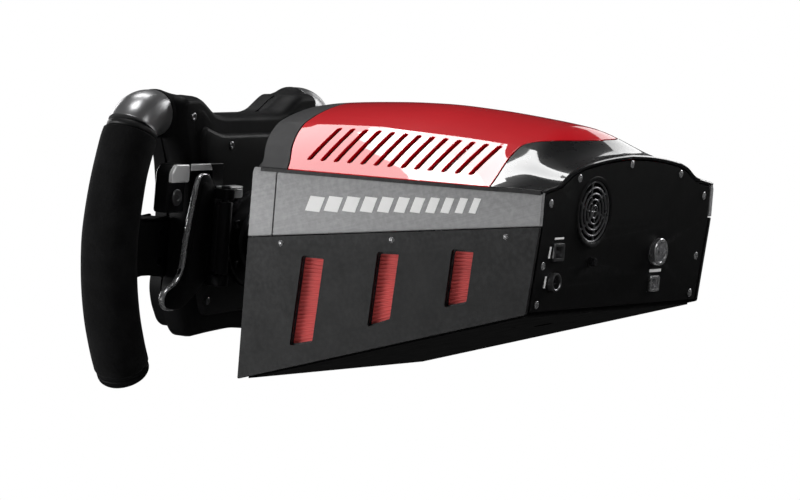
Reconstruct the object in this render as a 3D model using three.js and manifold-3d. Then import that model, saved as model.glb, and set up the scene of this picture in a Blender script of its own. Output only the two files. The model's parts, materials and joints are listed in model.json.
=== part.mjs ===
// Racing wheel for a driving simulator: a force-feedback base (casing, bearings, brushless
// motor, two-stage belt drive, fan, sockets) carrying a detachable open-bottom steering wheel
// with two suede grips, shift paddles, push buttons, a direction pad and two rotary knobs.
//
// Row frame: millimetres, +Z up, +X to the driver's right, +Y away from the driver.
// The origin is the middle of the flat underside of the base, on the mounting plane z = 0.
// Most pieces are drawn in the steering frame: its Y axis is the steering axis (pointing away
// from the driver), its Z axis is square to it, and its origin is on the front face of the base.
// Front means towards the driver.
import * as THREE from "three";
import { mergeVertices } from "three/addons/utils/BufferGeometryUtils.js";
import Module from "manifold-3d";

// ---- driving dimensions ----
const TILT = (17.5 * Math.PI) / 180; // steering axis rises towards the driver by this angle
const AXIS_DROP = 85.5; // steering axis to the underside, along the front face
const AXIS_HEIGHT = AXIS_DROP * Math.cos(TILT); // of the steering frame's origin, row frame
const STEER_Y = -90.7; // row Y of the steering frame's origin
const HALF_W = 119; // half the casing width
const DEPTH = 227.5; // casing depth along the steering axis
const WALL = 3; // roof wall
const SIDE_T = 4; // side panel thickness
const FIT = 0.4; // usual clearance between neighbouring pieces
const INNER_HALF_W = HALF_W - SIDE_T - FIT; // pieces that fit between the side panels
const SHAFT_R = 14.5;
const SHAFT_END = 118;
const AXIS = [0, 0]; // the steering axis as an (x, z) centre

const wasm = await Module();
wasm.setup();

// ---- solids; ranges are [low, high], and centres are (x, z) ----
// closed solid from a three.js geometry, turned outwards if its faces point in
function solid(geometry) {
  const flat = geometry.index ? geometry.toNonIndexed() : geometry;
  const bare = new THREE.BufferGeometry().setAttribute("position", flat.getAttribute("position"));
  const merged = mergeVertices(bare, 1e-4);
  const vertProperties = new Float32Array(merged.attributes.position.array);
  const triVerts = new Uint32Array(merged.index.array);
  const make = () => new wasm.Manifold(new wasm.Mesh({ numProp: 3, vertProperties, triVerts }));
  const result = make();
  if (result.volume() >= 0) return result;
  for (let i = 0; i < triVerts.length; i += 3) {
    [triVerts[i + 1], triVerts[i + 2]] = [triVerts[i + 2], triVerts[i + 1]];
  }
  return make();
}
function geometryOf(shape) {
  const mesh = shape.getMesh();
  const geometry = new THREE.BufferGeometry();
  const positions = new Float32Array(mesh.vertProperties);
  geometry.setAttribute("position", new THREE.BufferAttribute(positions, 3));
  geometry.setIndex([...mesh.triVerts]);
  geometry.computeVertexNormals();
  return geometry;
}
const union = (...shapes) => shapes.reduce((sum, shape) => sum.add(shape));
const cut = (base, ...tools) => tools.reduce((rest, tool) => rest.subtract(tool), base);
const grown = ([low, high]) => [low - FIT, high + FIT];
// X range on one side of the middle: side is 1 for right, -1 for left
const span = (side, inner, outer) => (side > 0 ? [inner, outer] : [-outer, -inner]);
const SIDES = [[1, "right"], [-1, "left"]];

function box([x0, x1], [y0, y1], [z0, z1]) {
  const geometry = new THREE.BoxGeometry(x1 - x0, y1 - y0, z1 - z0);
  geometry.translate((x0 + x1) / 2, (y0 + y1) / 2, (z0 + z1) / 2);
  return solid(geometry);
}
const boxAt = ([x, z], halfX, yRange, halfZ) =>
  box([x - halfX, x + halfX], yRange, [z - halfZ, z + halfZ]);
function cylY([x, z], radius, [y0, y1], segments) {
  const geometry = new THREE.CylinderGeometry(radius, radius, y1 - y0, segments);
  geometry.translate(x, (y0 + y1) / 2, z);
  return solid(geometry);
}
function cylZ([x, y], radius, [z0, z1], segments) {
  const geometry = new THREE.CylinderGeometry(radius, radius, z1 - z0, segments);
  geometry.rotateX(Math.PI / 2);
  geometry.translate(x, y, (z0 + z1) / 2);
  return solid(geometry);
}
function extruded(points, depth) {
  const shape = new THREE.Shape(points.map(([a, b]) => new THREE.Vector2(a, b)));
  return new THREE.ExtrudeGeometry(shape, { depth, bevelEnabled: false, steps: 1 });
}
const axis = (x, y, z) => new THREE.Vector3(x, y, z);
// outline in (y, z), extruded along X
function prismX(points, [x0, x1]) {
  const geometry = extruded(points, x1 - x0);
  const turn = new THREE.Matrix4().makeBasis(axis(0, 1, 0), axis(0, 0, 1), axis(1, 0, 0));
  geometry.applyMatrix4(turn);
  geometry.translate(x0, 0, 0);
  return solid(geometry);
}
// outline in (x, z), extruded along Y
function prismY(points, [y0, y1]) {
  const geometry = extruded(points, y1 - y0);
  const turn = new THREE.Matrix4().makeBasis(axis(1, 0, 0), axis(0, 0, 1), axis(0, -1, 0));
  geometry.applyMatrix4(turn);
  geometry.translate(0, y1, 0);
  return solid(geometry);
}
// turned piece about an axis along Y: profile is [radius, y]
function latheY(profile, segments, [x, z] = AXIS) {
  const points = profile.map(([radius, y]) => new THREE.Vector2(radius, y));
  const geometry = new THREE.LatheGeometry(points, segments);
  geometry.translate(x, 0, z);
  return solid(geometry);
}
// turned about its own Z, then about Y, then moved
function placed(shape, [x, y, z], turnY, turnZ = 0) {
  const matrix = new THREE.Matrix4().makeTranslation(x, y, z);
  matrix.multiply(new THREE.Matrix4().makeRotationY(turnY));
  matrix.multiply(new THREE.Matrix4().makeRotationZ(turnZ));
  return shape.transform(matrix.elements.slice());
}
const circleOf = (count, radius, [x, z] = AXIS) =>
  Array.from({ length: count }, (_, i) => {
    const angle = (i * 2 * Math.PI) / count;
    return [x + radius * Math.cos(angle), z + radius * Math.sin(angle)];
  });

// triangles closing one planar ring, as indices into the ring
function capTriangles(ring) {
  const count = ring.length;
  const centre = ring.reduce((sum, p) => sum.add(p), new THREE.Vector3()).divideScalar(count);
  const spokes = ring.map((p) => p.clone().sub(centre));
  const normal = new THREE.Vector3();
  for (let i = 0; i < count; i++) {
    normal.add(new THREE.Vector3().crossVectors(spokes[i], spokes[(i + 1) % count]));
  }
  normal.normalize();
  const helper = Math.abs(normal.z) < 0.9 ? axis(0, 0, 1) : axis(1, 0, 0);
  const across = new THREE.Vector3().crossVectors(helper, normal).normalize();
  const up = new THREE.Vector3().crossVectors(normal, across);
  const flat = spokes.map((p) => new THREE.Vector2(p.dot(across), p.dot(up)));
  return THREE.ShapeUtils.triangulateShape(flat, []);
}
// a shell ring is its outer line, then its inner line backwards: close the strip between them
function stripTriangles(count) {
  const triangles = [];
  for (let i = 0; i + 1 < count / 2; i++) {
    const [a, b, c, d] = [i, i + 1, count - 2 - i, count - 1 - i];
    triangles.push([a, b, c], [a, c, d]);
  }
  return triangles;
}
// skin through closed rings of equal point count, closed at both ends
function loft(rings, shell = false) {
  const count = rings[0].length;
  const positions = rings.flat().flatMap((p) => [p.x, p.y, p.z]);
  const indices = [];
  for (let k = 0; k + 1 < rings.length; k++) {
    for (let i = 0; i < count; i++) {
      const a = k * count + i;
      const b = k * count + ((i + 1) % count);
      indices.push(a, b, b + count, a, b + count, a + count);
    }
  }
  for (const [k, flip] of [[0, true], [rings.length - 1, false]]) {
    const triangles = shell ? stripTriangles(count) : capTriangles(rings[k]);
    for (const triangle of triangles) {
      const [a, b, c] = triangle.map((i) => k * count + i);
      indices.push(...(flip ? [a, c, b] : [a, b, c]));
    }
  }
  const geometry = new THREE.BufferGeometry();
  const array = new Float32Array(positions);
  geometry.setAttribute("position", new THREE.BufferAttribute(array, 3));
  geometry.setIndex(indices);
  return solid(geometry);
}
// straight-line reading of a table of [position, value]
function readTable(table, position) {
  if (position <= table[0][0]) return table[0][1];
  for (let i = 1; i < table.length; i++) {
    if (position > table[i][0]) continue;
    const [p0, v0] = table[i - 1];
    const [p1, v1] = table[i];
    return v0 + ((v1 - v0) * (position - p0)) / (p1 - p0);
  }
  return table[table.length - 1][1];
}
const mirrorX = (points) => points.map(([x, z]) => [-x, z]).reverse();

// ---- assembly groups and materials ----
const root = new THREE.Group();
const steer = new THREE.Group();
steer.position.set(0, STEER_Y, AXIS_HEIGHT);
steer.rotation.x = -TILT;
root.add(steer);

const LOOKS = {
  red: { color: 0xa5040f, roughness: 0.22, metalness: 0 },
  black: { color: 0x141414, roughness: 0.45, metalness: 0 },
  gloss: { color: 0x0b0b0c, roughness: 0.12, metalness: 0 },
  grey: { color: 0x868686, roughness: 0.45, metalness: 0.5 },
  graphite: { color: 0x2a2b2b, roughness: 0.5, metalness: 0.1 },
  suede: { color: 0x0f0f0f, roughness: 0.95, metalness: 0 },
  steel: { color: 0xb9babc, roughness: 0.3, metalness: 1 },
  alu: { color: 0xa9aaac, roughness: 0.35, metalness: 1 },
  ventred: { color: 0xa83236, roughness: 0.6, metalness: 0 },
  pcb: { color: 0x12401f, roughness: 0.5, metalness: 0 },
  rubber: { color: 0x0d0d0d, roughness: 0.8, metalness: 0 },
};
function put(name, shape, look, group = steer) {
  const mesh = new THREE.Mesh(geometryOf(shape), new THREE.MeshStandardMaterial(LOOKS[look]));
  mesh.name = name;
  group.add(mesh);
}
// height of the mounting plane in the steering frame, at depth y
const undersideZ = (y) => -AXIS_DROP + Math.tan(TILT) * y;
// row Y, at row height z, of the plane square to the steering axis at depth y
const rowY = (y, z) => STEER_Y + y / Math.cos(TILT) - (AXIS_HEIGHT - z) * Math.tan(TILT);

// ---- casing roof ----
// [y, z] along the depth: side edge, shoulder and ridge of the outer skin
const SIDE_TOP = [[-20, 60.4], [DEPTH, 68.2]];
const SHOULDER = [
  [-20, 88.6], [3, 90.4], [35, 92.6], [75, 94.2], [115, 94.2],
  [165, 93.3], [186, 91.6], [210, 88], [228, 84],
];
const RIDGE = [
  [-20, 99.5], [-7, 102.3], [30, 106.8], [60, 109.3], [90, 110.5], [120, 110],
  [150, 108.5], [180, 106], [200, 102.5], [215, 97.5], [228, 90],
];
// the next four lists run over the roof points, from side edge to ridge
const ROOF_X = [HALF_W - 0.4, 112, 94, 79, 66, 44, 22, 0];
const ROOF_X_INSET = [1, 1, 0.5, 0.5, 0.3, 0, 0, 0]; // sideways share of the offset
const FRONT_BOW = [0, -3, -13, -19, -22, -23.5, -24, -24]; // edges run forward in the middle
const REAR_BOW = [9, 8, 4, 1, 0, 13, 21, 24]; // the rear joint runs back in the middle
const CAP_JOINT = 0.4; // gap between the cover and each cap

// roof point k at depth y, offset below the outer skin
function roofPoint(k, y, offset) {
  const { lerp, smoothstep } = THREE.MathUtils;
  const edge = readTable(SIDE_TOP, y);
  const shoulder = readTable(SHOULDER, y);
  const flank = shoulder - edge;
  const crown = readTable(RIDGE, y) - shoulder;
  const rear = smoothstep(y, 180, 228); // the flank settles to fixed heights at the rear
  const heights = [
    edge + 0.4,
    lerp(edge + flank * 0.14, 69.6, rear) + 0.4 - offset * 0.6,
    lerp(edge + flank * 0.45, 72.4, rear) - offset * 0.85,
    lerp(edge + flank * 0.79, 80.6, rear) - offset * 0.85,
    shoulder - offset * 0.95,
    shoulder + crown * 0.55 - offset,
    shoulder + crown * 0.87 - offset,
    shoulder + crown - offset,
  ];
  return new THREE.Vector3(ROOF_X[k] - offset * ROOF_X_INSET[k], y, heights[k]);
}
// full-width roof line, right to left
function roofLine(y, offset, bow) {
  const half = ROOF_X.map((_, k) => roofPoint(k, y + (bow ? bow[k] : 0), offset));
  const mirrored = half.slice(0, -1).reverse();
  return [...half, ...mirrored.map((p) => new THREE.Vector3(-p.x, p.y, p.z))];
}
// shell through sections of [y, bow]
const roof = (sections) =>
  loft(sections.map(([y, bow]) => [
    ...roofLine(y, 0, bow),
    ...roofLine(y, WALL, bow).reverse(),
  ]), true);

// everything below the roof's inner skin, less a gap
function spaceUnderRoof() {
  const halfWidth = HALF_W - 4.5;
  const bottom = -140;
  const stations = [-24, -8, 6, 20, 75, 130, 177, 198, 208, 218, DEPTH, 232];
  return loft(stations.map((y) => {
    const top = roofLine(y, WALL + 0.9);
    for (const point of top) {
      point.x = THREE.MathUtils.clamp(point.x, -halfWidth, halfWidth);
      point.z -= FIT;
    }
    const corners = [-halfWidth, halfWidth].map((x) => new THREE.Vector3(x, y, bottom));
    return [...top, ...corners];
  }));
}
const underRoof = spaceUnderRoof();

// cover with a row of slots through each flank
function topCover() {
  const slotCount = 13;
  const slotPitch = 10.6;
  const slotLean = 0.62;
  let cover = roof([[27 + CAP_JOINT, FRONT_BOW], [75], [130], [177, REAR_BOW]]);
  for (let i = 0; i < slotCount; i++) {
    for (const [side] of SIDES) {
      const slot = box([-20, 20], [-1.7, 1.7], [-12, 12]);
      const place = [side * 90, 37 + i * slotPitch, 80];
      cover = cover.subtract(placed(slot, place, side * slotLean));
    }
  }
  return cover;
}
put("front_cap", roof([[6, FRONT_BOW], [27, FRONT_BOW]]), "graphite");
put("top_cover", topCover(), "red");
put("rear_cap", roof([[177 + CAP_JOINT, REAR_BOW], [209], [218], [DEPTH]]), "gloss");

// ---- sides: graphite lower panel with three vents, grey upper trim, red vent backing ----
const SIDE_END = 227.3;
const SEAM_GAP = 0.2; // on each side of the line between panel and trim
const seamZ = (y) => 13 + (32 * y) / 227;
// corners (y, z) of each vent
const VENTS = [
  [[44.6, 5.2], [61.9, 5.7], [57.8, -52.4], [40.2, -56.8]],
  [[103.8, 14.3], [120.5, 15.4], [117.3, -30.4], [100.5, -36.6]],
  [[161.4, 22.6], [178.1, 23.5], [175.6, -11.9], [159, -16.6]],
];
const PANEL_OUTLINE = [
  [0, undersideZ(0) + 1], [221.8, undersideZ(221.8) + 1],
  [SIDE_END, seamZ(SIDE_END) - SEAM_GAP], [0, seamZ(0) - SEAM_GAP],
];
const TRIM_OUTLINE = [
  [0, seamZ(0) + SEAM_GAP], [SIDE_END, seamZ(SIDE_END) + SEAM_GAP], [DEPTH, 67.9], [0, 60.9],
];
const BACKING_OUTLINE = [[34, -62], [186, -17.5], [186, 33], [34, 13]];
for (const [side, tag] of SIDES) {
  const panel = prismX(PANEL_OUTLINE, span(side, HALF_W - SIDE_T, HALF_W));
  const holes = VENTS.map((vent) => prismX(vent, span(side, HALF_W - 6, HALF_W + 2)));
  const trim = prismX(TRIM_OUTLINE, span(side, HALF_W - SIDE_T, HALF_W + 0.6));
  const backing = prismX(BACKING_OUTLINE, span(side, HALF_W - 7, INNER_HALF_W));
  put("side_panel_" + tag, cut(panel, ...holes), "graphite");
  put("side_trim_" + tag, trim, "grey");
  put("vent_backing_" + tag, backing, "ventred");
}

// ---- front bezel and nose ----
const INNER_SPAN = [-INNER_HALF_W, INNER_HALF_W];
const bezelBlank = box(INNER_SPAN, [0, 6], [undersideZ(0) + 3.2, 130]).intersect(underRoof);
put("front_bezel", bezelBlank.subtract(cylY(AXIS, 30, [-1, 7], 28)), "black");
const NOSE_PROFILE = [
  [17, -19], [31, -19], [37, -4], [37, -0.4], [29.4, -0.4], [29.4, 5], [17, 5], [17, -19],
];
put("nose_cone", latheY(NOSE_PROFILE, 28), "black");

// ---- back panel, fan and sockets ----
const FAN = [47, 53];
const FAN_R = 21; // guard radius
const POWER = [-47, 23];
const USB = { x: [-57, -44], z: [-5, 6] };
const PEDAL = { x: [83, 97], z: [21, 33] };
const SHIFTER = [90, 7];
const SHIFTER_R = 6.5;
const MODE = [43, 19];
const MODE_R = 3;

function backPanel() {
  const outline = [
    [217.4, undersideZ(217.4) + 8], [221.6, undersideZ(221.6) + 2.4],
    [227, 45], [227, 120], [222.8, 120], [222.8, 45],
  ];
  const through = [205, 235];
  return cut(
    prismX(outline, INNER_SPAN).intersect(underRoof),
    cylY(FAN, FAN_R + FIT, [210, 235], 24),
    cylY(POWER, 9.9, through, 20),
    box(grown(USB.x), through, grown(USB.z)),
    box(grown(PEDAL.x), through, grown(PEDAL.z)),
    cylY(SHIFTER, SHIFTER_R + FIT, through, 20),
    cylY(MODE, MODE_R + FIT, through, 16),
  );
}
function fanGuard() {
  const rim = cylY(FAN, FAN_R, [223, 226.4], 24).subtract(cylY(FAN, FAN_R - 3, [222, 228], 24));
  let guard = rim.add(cylY(FAN, 6, [223, 226.4], 16));
  for (let i = 0; i < 6; i++) {
    const bar = box([-1.1, 1.1], [223.4, 226], [5, FAN_R - 2]);
    guard = guard.add(placed(bar, [FAN[0], 0, FAN[1]], (i * Math.PI) / 3));
  }
  return guard;
}
// square frame with a cross and a motor seat at its front
function fanFrame() {
  const crossY = [204, 205.6];
  return union(
    boxAt(FAN, 25, [204, 217], 25).subtract(cylY(FAN, 22.6, [203, 218], 20)),
    boxAt(FAN, 23.5, crossY, 1.5),
    boxAt(FAN, 1.5, crossY, 23.5),
    cylY(FAN, 9, crossY, 16),
  ).intersect(underRoof);
}
function fanRotor() {
  const bladeCount = 7;
  const bladePitch = 0.75;
  let rotor = cylY(FAN, 8.5, [206.4, 215.5], 14);
  for (let i = 0; i < bladeCount; i++) {
    const blade = box([-0.8, 0.8], [-4.6, 4.6], [7.5, 21]);
    const turn = (i * 2 * Math.PI) / bladeCount;
    rotor = rotor.add(placed(blade, [FAN[0], 211, FAN[1]], turn, bladePitch));
  }
  return rotor;
}
put("back_panel", backPanel(), "black");
put("fan_guard", fanGuard(), "steel");
put("fan_frame", fanFrame(), "black");
put("fan_rotor", fanRotor(), "black");

// barrel with a centre pin
const POWER_PROFILE = [
  [0, 208], [9.4, 208], [9.4, 226], [9.4, 229.4], [6.6, 229.4],
  [6.6, 220], [1.6, 220], [1.6, 226], [0, 226],
];
put("power_socket", latheY(POWER_PROFILE, 16, POWER), "steel");
const usbMouth = box([-54.6, -46.4], [216, 230], [-3, 4]);
put("usb_socket", box(USB.x, [208, 227.6], USB.z).subtract(usbMouth), "steel");
const pedalMouth = box([85.6, 94.4], [214, 230], [23.4, 30.6]);
put("pedal_socket", box(PEDAL.x, [208, 227.6], PEDAL.z).subtract(pedalMouth), "black");
const shifterBody = cylY(SHIFTER, SHIFTER_R, [208, 227.8], 20);
put("shifter_socket", shifterBody.subtract(cylY(SHIFTER, 4.6, [218, 230], 16)), "black");
put("mode_button", cylY(MODE, MODE_R, [219, 229.4], 16), "gloss");

// ---- drive train ----
const BEARING_R = 27.5;
const BEARING_BORE_R = 15;
const BEARING_W = 13;
const DRIVE_PULLEY_R = 38;
const JACK = [60, 34]; // jackshaft centre
const JACK_SMALL_R = 9.5;
const JACK_LARGE_R = 30;
const JACK_PIN_R = 4;
const JACK_BORE_R = JACK_PIN_R + FIT;
const MOTOR = [-12, 62]; // motor centre
const MOTOR_PULLEY_R = 10;
const SHAFT_PULLEY_Y = [103.6, 116.4]; // the two pulleys of the belt to the shaft
const BELT_INNER = 0.95; // belt faces, measured out from the pulley surface
const BELT_OUTER = 2.25;
const floorZ = (y) => undersideZ(y) + 6.9 / Math.cos(TILT); // about the top of the tray's floor

// barrel on a foot, with a pocket in each flank of the foot
function bearingBlock() {
  const [y0, y1] = [12, 92];
  const foot = [[y0, floorZ(y0) + FIT], [y1, floorZ(y1) + FIT], [y1, 0], [y0, 0]];
  return cut(
    cylY(AXIS, 38, [y0, y1], 24).add(prismX(foot, [-30, 30])),
    cylY(AXIS, BEARING_R + 0.6, [10, 95], 24),
    box([-30.5, -14], [34, 72], [-90, -34]),
    box([14, 30.5], [34, 72], [-90, -34]),
  );
}
const bearing = (y) =>
  latheY([
    [BEARING_BORE_R, y], [BEARING_R, y], [BEARING_R, y + BEARING_W],
    [BEARING_BORE_R, y + BEARING_W], [BEARING_BORE_R, y],
  ], 24);
put("bearing_block", bearingBlock(), "alu");
put("front_bearing", bearing(14), "steel");
put("rear_bearing", bearing(76), "steel");

const SHAFT_PROFILE = [
  [0, -46], [12, -46], [12, -40], [SHAFT_R, -38], [SHAFT_R, SHAFT_END], [0, SHAFT_END],
];
put("main_shaft", latheY(SHAFT_PROFILE, 20), "steel");
put("drive_pulley", cut(
  cylY(AXIS, DRIVE_PULLEY_R, SHAFT_PULLEY_Y, 32),
  cylY(AXIS, SHAFT_R + 0.3, [100, 120], 20),
  ...circleOf(5, 26).map((centre) => cylY(centre, 7, [100, 120], 10)),
), "black");
put("encoder_magnet", cylY(AXIS, 5, [SHAFT_END + FIT, 121.6], 16), "steel");
put("sensor_board", union(
  boxAt(AXIS, 13, [124.4, 126], 11),
  boxAt([-9, -7], 2, [125, 132], 2),
  boxAt([9, 7], 2, [125, 132], 2),
  boxAt(AXIS, 4, [123, 125], 4),
), "pcb");

const JACK_PULLEY_PROFILE = [
  [JACK_BORE_R, SHAFT_PULLEY_Y[0]], [JACK_SMALL_R, SHAFT_PULLEY_Y[0]],
  [JACK_SMALL_R, SHAFT_PULLEY_Y[1]], [10, 117], [10, 120], [JACK_LARGE_R, 120],
  [JACK_LARGE_R, 130], [JACK_BORE_R, 130], [JACK_BORE_R, SHAFT_PULLEY_Y[0]],
];
const JACK_PIN_PROFILE = [
  [0, 99], [7, 99], [7, 102.8], [JACK_PIN_R, 102.8], [JACK_PIN_R, 137], [0, 137],
];
// shaft, pulley and rotor body in one piece
const ROTOR_PROFILE = [
  [0, 118], [4, 118], [4, 119.6], [MOTOR_PULLEY_R, 119.6], [MOTOR_PULLEY_R, 130.2], [4, 130.2],
  [4, 141], [15.6, 141], [15.6, 195], [4, 195], [4, 203], [0, 203],
];
const STATOR_PROFILE = [
  [16.2, 138], [30, 138], [30, 200], [5, 200], [5, 197], [16.2, 197], [16.2, 138],
];
put("jack_pulley", latheY(JACK_PULLEY_PROFILE, 22, JACK), "black");
put("jack_pin", latheY(JACK_PIN_PROFILE, 14, JACK), "steel");
put("motor_rotor", latheY(ROTOR_PROFILE, 18, MOTOR), "steel");
put("motor_stator", latheY(STATOR_PROFILE, 24, MOTOR), "black");

// plate across the casing with three windows
function motorBracket() {
  const bottom = floorZ(138) + 1;
  const outline = [[-50, bottom], [94, bottom], [94, 58], [64, 84], [-50, 84]];
  const through = [130, 140];
  return cut(
    prismY(outline, [132.4, 137.6]),
    cylY(MOTOR, 11, through, 20),
    cylY(JACK, JACK_BORE_R, through, 20),
    box([-40, -18], through, [-30, 22]),
    box([20, 50], through, [-30, 0]),
    box([60, 84], through, [-30, 12]),
  );
}
put("motor_bracket", motorBracket(), "alu");

// closed loop of flat belt round a large and a small pulley
function belt(large, largeR, small, smallR, [y0, y1]) {
  const dx = small[0] - large[0];
  const dz = small[1] - large[1];
  const heading = Math.atan2(dz, dx);
  const wrap = Math.acos((largeR - smallR) / Math.hypot(dx, dz));
  const arc = ([x, z], radius, start, sweepAngle, steps) =>
    Array.from({ length: steps + 1 }, (_, i) => {
      const angle = start + (sweepAngle * i) / steps;
      return [x + radius * Math.cos(angle), z + radius * Math.sin(angle)];
    });
  const loop = (offset) => [
    ...arc(large, largeR + offset, heading + wrap, 2 * Math.PI - 2 * wrap, 14),
    ...arc(small, smallR + offset, heading - wrap, 2 * wrap, 8),
  ];
  return prismY(loop(BELT_OUTER), [y0, y1]).subtract(prismY(loop(BELT_INNER), [y0 - 1, y1 + 1]));
}
put("belt_to_shaft", belt(AXIS, DRIVE_PULLEY_R, JACK, JACK_SMALL_R, [105, 115]), "rubber");
put("belt_from_motor", belt(JACK, JACK_LARGE_R, MOTOR, MOTOR_PULLEY_R, [121, 129]), "rubber");

// ---- steering wheel hub ----
// half outlines (x, z) of the hub shells, from the top centre clockwise on the driver's right
const REAR_HALF = [
  [0, 87], [36, 87], [45, 89], [59, 97.5], [66, 100], [83, 100], [87, 96], [86.5, 78],
  [82, 69], [76, 54], [72, 38], [70, 24], [70, -26], [74, -36], [72, -46], [62, -64],
  [54, -69.5], [28, -67], [0, -65],
];
const FRONT_HALF = [
  [0, 85], [35, 85], [44, 87], [58, 95], [65, 97.5], [80, 97.5], [84, 94], [83, 79],
  [77, 68], [70, 54], [66, 38], [63, 24], [62, -20], [64, -36], [60, -48], [51, -61],
  [43, -65], [22, -64], [0, -62],
];
// whole outline, its points drawn in towards (0, 10) with a little extra sideways
function hubOutline(half, inset = 0) {
  const points = half.map(([x, z]) => {
    const reach = Math.hypot(x, z - 10);
    const newX = x === 0 ? 0 : x - (inset * x) / reach - Math.sign(x) * inset * 0.2;
    return [newX, z - (inset * (z - 10)) / reach];
  });
  return [...points, ...mirrorX(points).slice(1, -1)];
}
const BUTTONS = [[42, 34], [48, 8], [46, -18], [-42, 34], [-48, 8], [-46, -18]];
const KNOBS = { knob_right: [26, -44], knob_left: [-26, -44] };
const PAD = [0, 34];
const CONTROL_CUT_Y = [-125, -100];
const controlHoles = () => [
  ...BUTTONS.map((centre) => cylY(centre, 7, CONTROL_CUT_Y, 14)),
  ...Object.values(KNOBS).map((centre) => cylY(centre, 4, CONTROL_CUT_Y, 10)),
];
function knob(centre) {
  const body = cylY(centre, 9.5, [-128, -118], 20).add(cylY(centre, 3.5, [-119, -110], 10));
  const flutes = circleOf(5, 10.3, centre).map((flute) => cylY(flute, 1.9, [-129, -117], 6));
  return cut(body, ...flutes);
}
put("hub_rear_shell", cut(
  prismY(hubOutline(REAR_HALF), [-97.4, -76]),
  prismY(hubOutline(REAR_HALF, 5), [-99, -80]),
), "black");
put("hub_front_shell", cut(
  prismY(hubOutline(FRONT_HALF), [-114, -104.4]),
  prismY(hubOutline(FRONT_HALF, 5), [-111.4, -103]),
  ...controlHoles(),
  cylY(PAD, 9.5, CONTROL_CUT_Y, 14),
), "black");
put("face_plate", cut(
  prismY(hubOutline(FRONT_HALF, 2.5), [-117, -114.3]),
  ...controlHoles(),
  cylY(PAD, 11, CONTROL_CUT_Y, 16),
), "graphite");
BUTTONS.forEach((centre, i) => {
  put(`button_${i + 1}`, cylY(centre, 6.4, [-120.6, -111.2], 14), "gloss");
});
for (const [name, centre] of Object.entries(KNOBS)) put(name, knob(centre), "black");
put("direction_pad", union(
  boxAt(PAD, 8.2, [-120.4, -116], 2.8),
  boxAt(PAD, 2.8, [-120.4, -116], 8.2),
  cylY(PAD, 3, [-117, -110], 14),
), "gloss");
put("wheel_board", box([-44, 44], [-108.6, -107.2], [-36, 42]), "pcb");

// ---- rim: grips, top corners and the metal frame through them ----
const RIM_Y = -105; // wheel plane, in front of the casing
const GRIP_HALF_D = 19.5; // along the steering axis
const GRIP_HALF_W = 17.5; // in the wheel plane
const CORE_R = 7.5; // metal core of the grips
const CORE_BORE_R = CORE_R + 1;
const SPOKE_Y = [-111, -97.8];
const SPOKE_Z = [-26, 14];
const FRAME_Y = [-104, -97.8];
const TOP_ARM_Z = [80.6, 92.6];
// centre lines (x, z) on the right side, from the open bottom end up and then inwards
const GRIP_PATH = [
  [99, -96], [103.5, -89.5], [111.5, -75], [120.5, -54], [127, -30],
  [130.2, -4], [129.2, 16], [124.8, 43], [118.4, 64], [114.6, 72.4],
];
const CORNER_PATH = [[112.6, 76.4], [110, 80], [105, 83.8], [98, 86.2], [89, 86.6]];
const CORNER_MIDDLE = CORNER_PATH.slice(1, 4);
const CORE_PATH = [[105.5, -86], ...GRIP_PATH.slice(2), ...CORNER_MIDDLE, [91, 86.6]];
const GRIP_BORE_PATH = [[104.4, -88], ...GRIP_PATH.slice(2, -1), [109, 80]];
const CORNER_BORE_PATH = [[116, 70], ...CORNER_MIDDLE, [80, 86.6]];

// elliptical section swept along a path; taper scales it by the fraction along the path
function sweep(path, side, halfWidth, halfDepth, segments, taper = () => 1) {
  const points = path.map(([x, z]) => new THREE.Vector3(side * x, RIM_Y, z));
  const curve = new THREE.CatmullRomCurve3(points);
  const steps = Math.round((path.length - 1) * 1.5);
  const rings = [];
  for (let k = 0; k <= steps; k++) {
    const t = k / steps;
    const centre = curve.getPoint(t);
    const tangent = curve.getTangent(t).normalize();
    const across = axis(tangent.z, 0, -tangent.x);
    const scale = taper(t);
    const ring = [];
    for (let i = 0; i < segments; i++) {
      const angle = (i * 2 * Math.PI) / segments;
      const point = centre.clone().addScaledVector(across, halfWidth * scale * Math.cos(angle));
      ring.push(point.addScaledVector(axis(0, 1, 0), halfDepth * scale * Math.sin(angle)));
    }
    rings.push(ring);
  }
  return loft(rings);
}
const gripTaper = (t) => (t < 0.02 ? 0.72 : t < 0.1 ? 0.94 : 1);
const grip = (side) => cut(
  sweep(GRIP_PATH, side, GRIP_HALF_W, GRIP_HALF_D, 14, gripTaper),
  sweep(GRIP_BORE_PATH, side, CORE_BORE_R, CORE_BORE_R, 8),
  box(grown(span(side, 60, 127)), grown(SPOKE_Y), grown(SPOKE_Z)),
);
const rimCorner = (side) => cut(
  sweep(CORNER_PATH, side, GRIP_HALF_W, GRIP_HALF_D - 1.5, 14, (t) => 1 - 0.1 * t),
  sweep(CORNER_BORE_PATH, side, CORE_BORE_R, CORE_BORE_R, 8),
  box(span(side, 80, 97), grown(FRAME_Y), grown(TOP_ARM_Z)),
);
const rimFrameSide = (side) => [
  sweep(CORE_PATH, side, CORE_R, CORE_R, 8),
  box(span(side, 71, 127), SPOKE_Y, SPOKE_Z),
  box(span(side, 56, 72), FRAME_Y, SPOKE_Z),
  box(span(side, 70, 96), FRAME_Y, TOP_ARM_Z),
];

// ---- shift paddles, each hung on a pin along Z ----
const PIN_X = 50;
const PIN_Y = -65;
const PADDLE_Z = [-22, 28];
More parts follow.
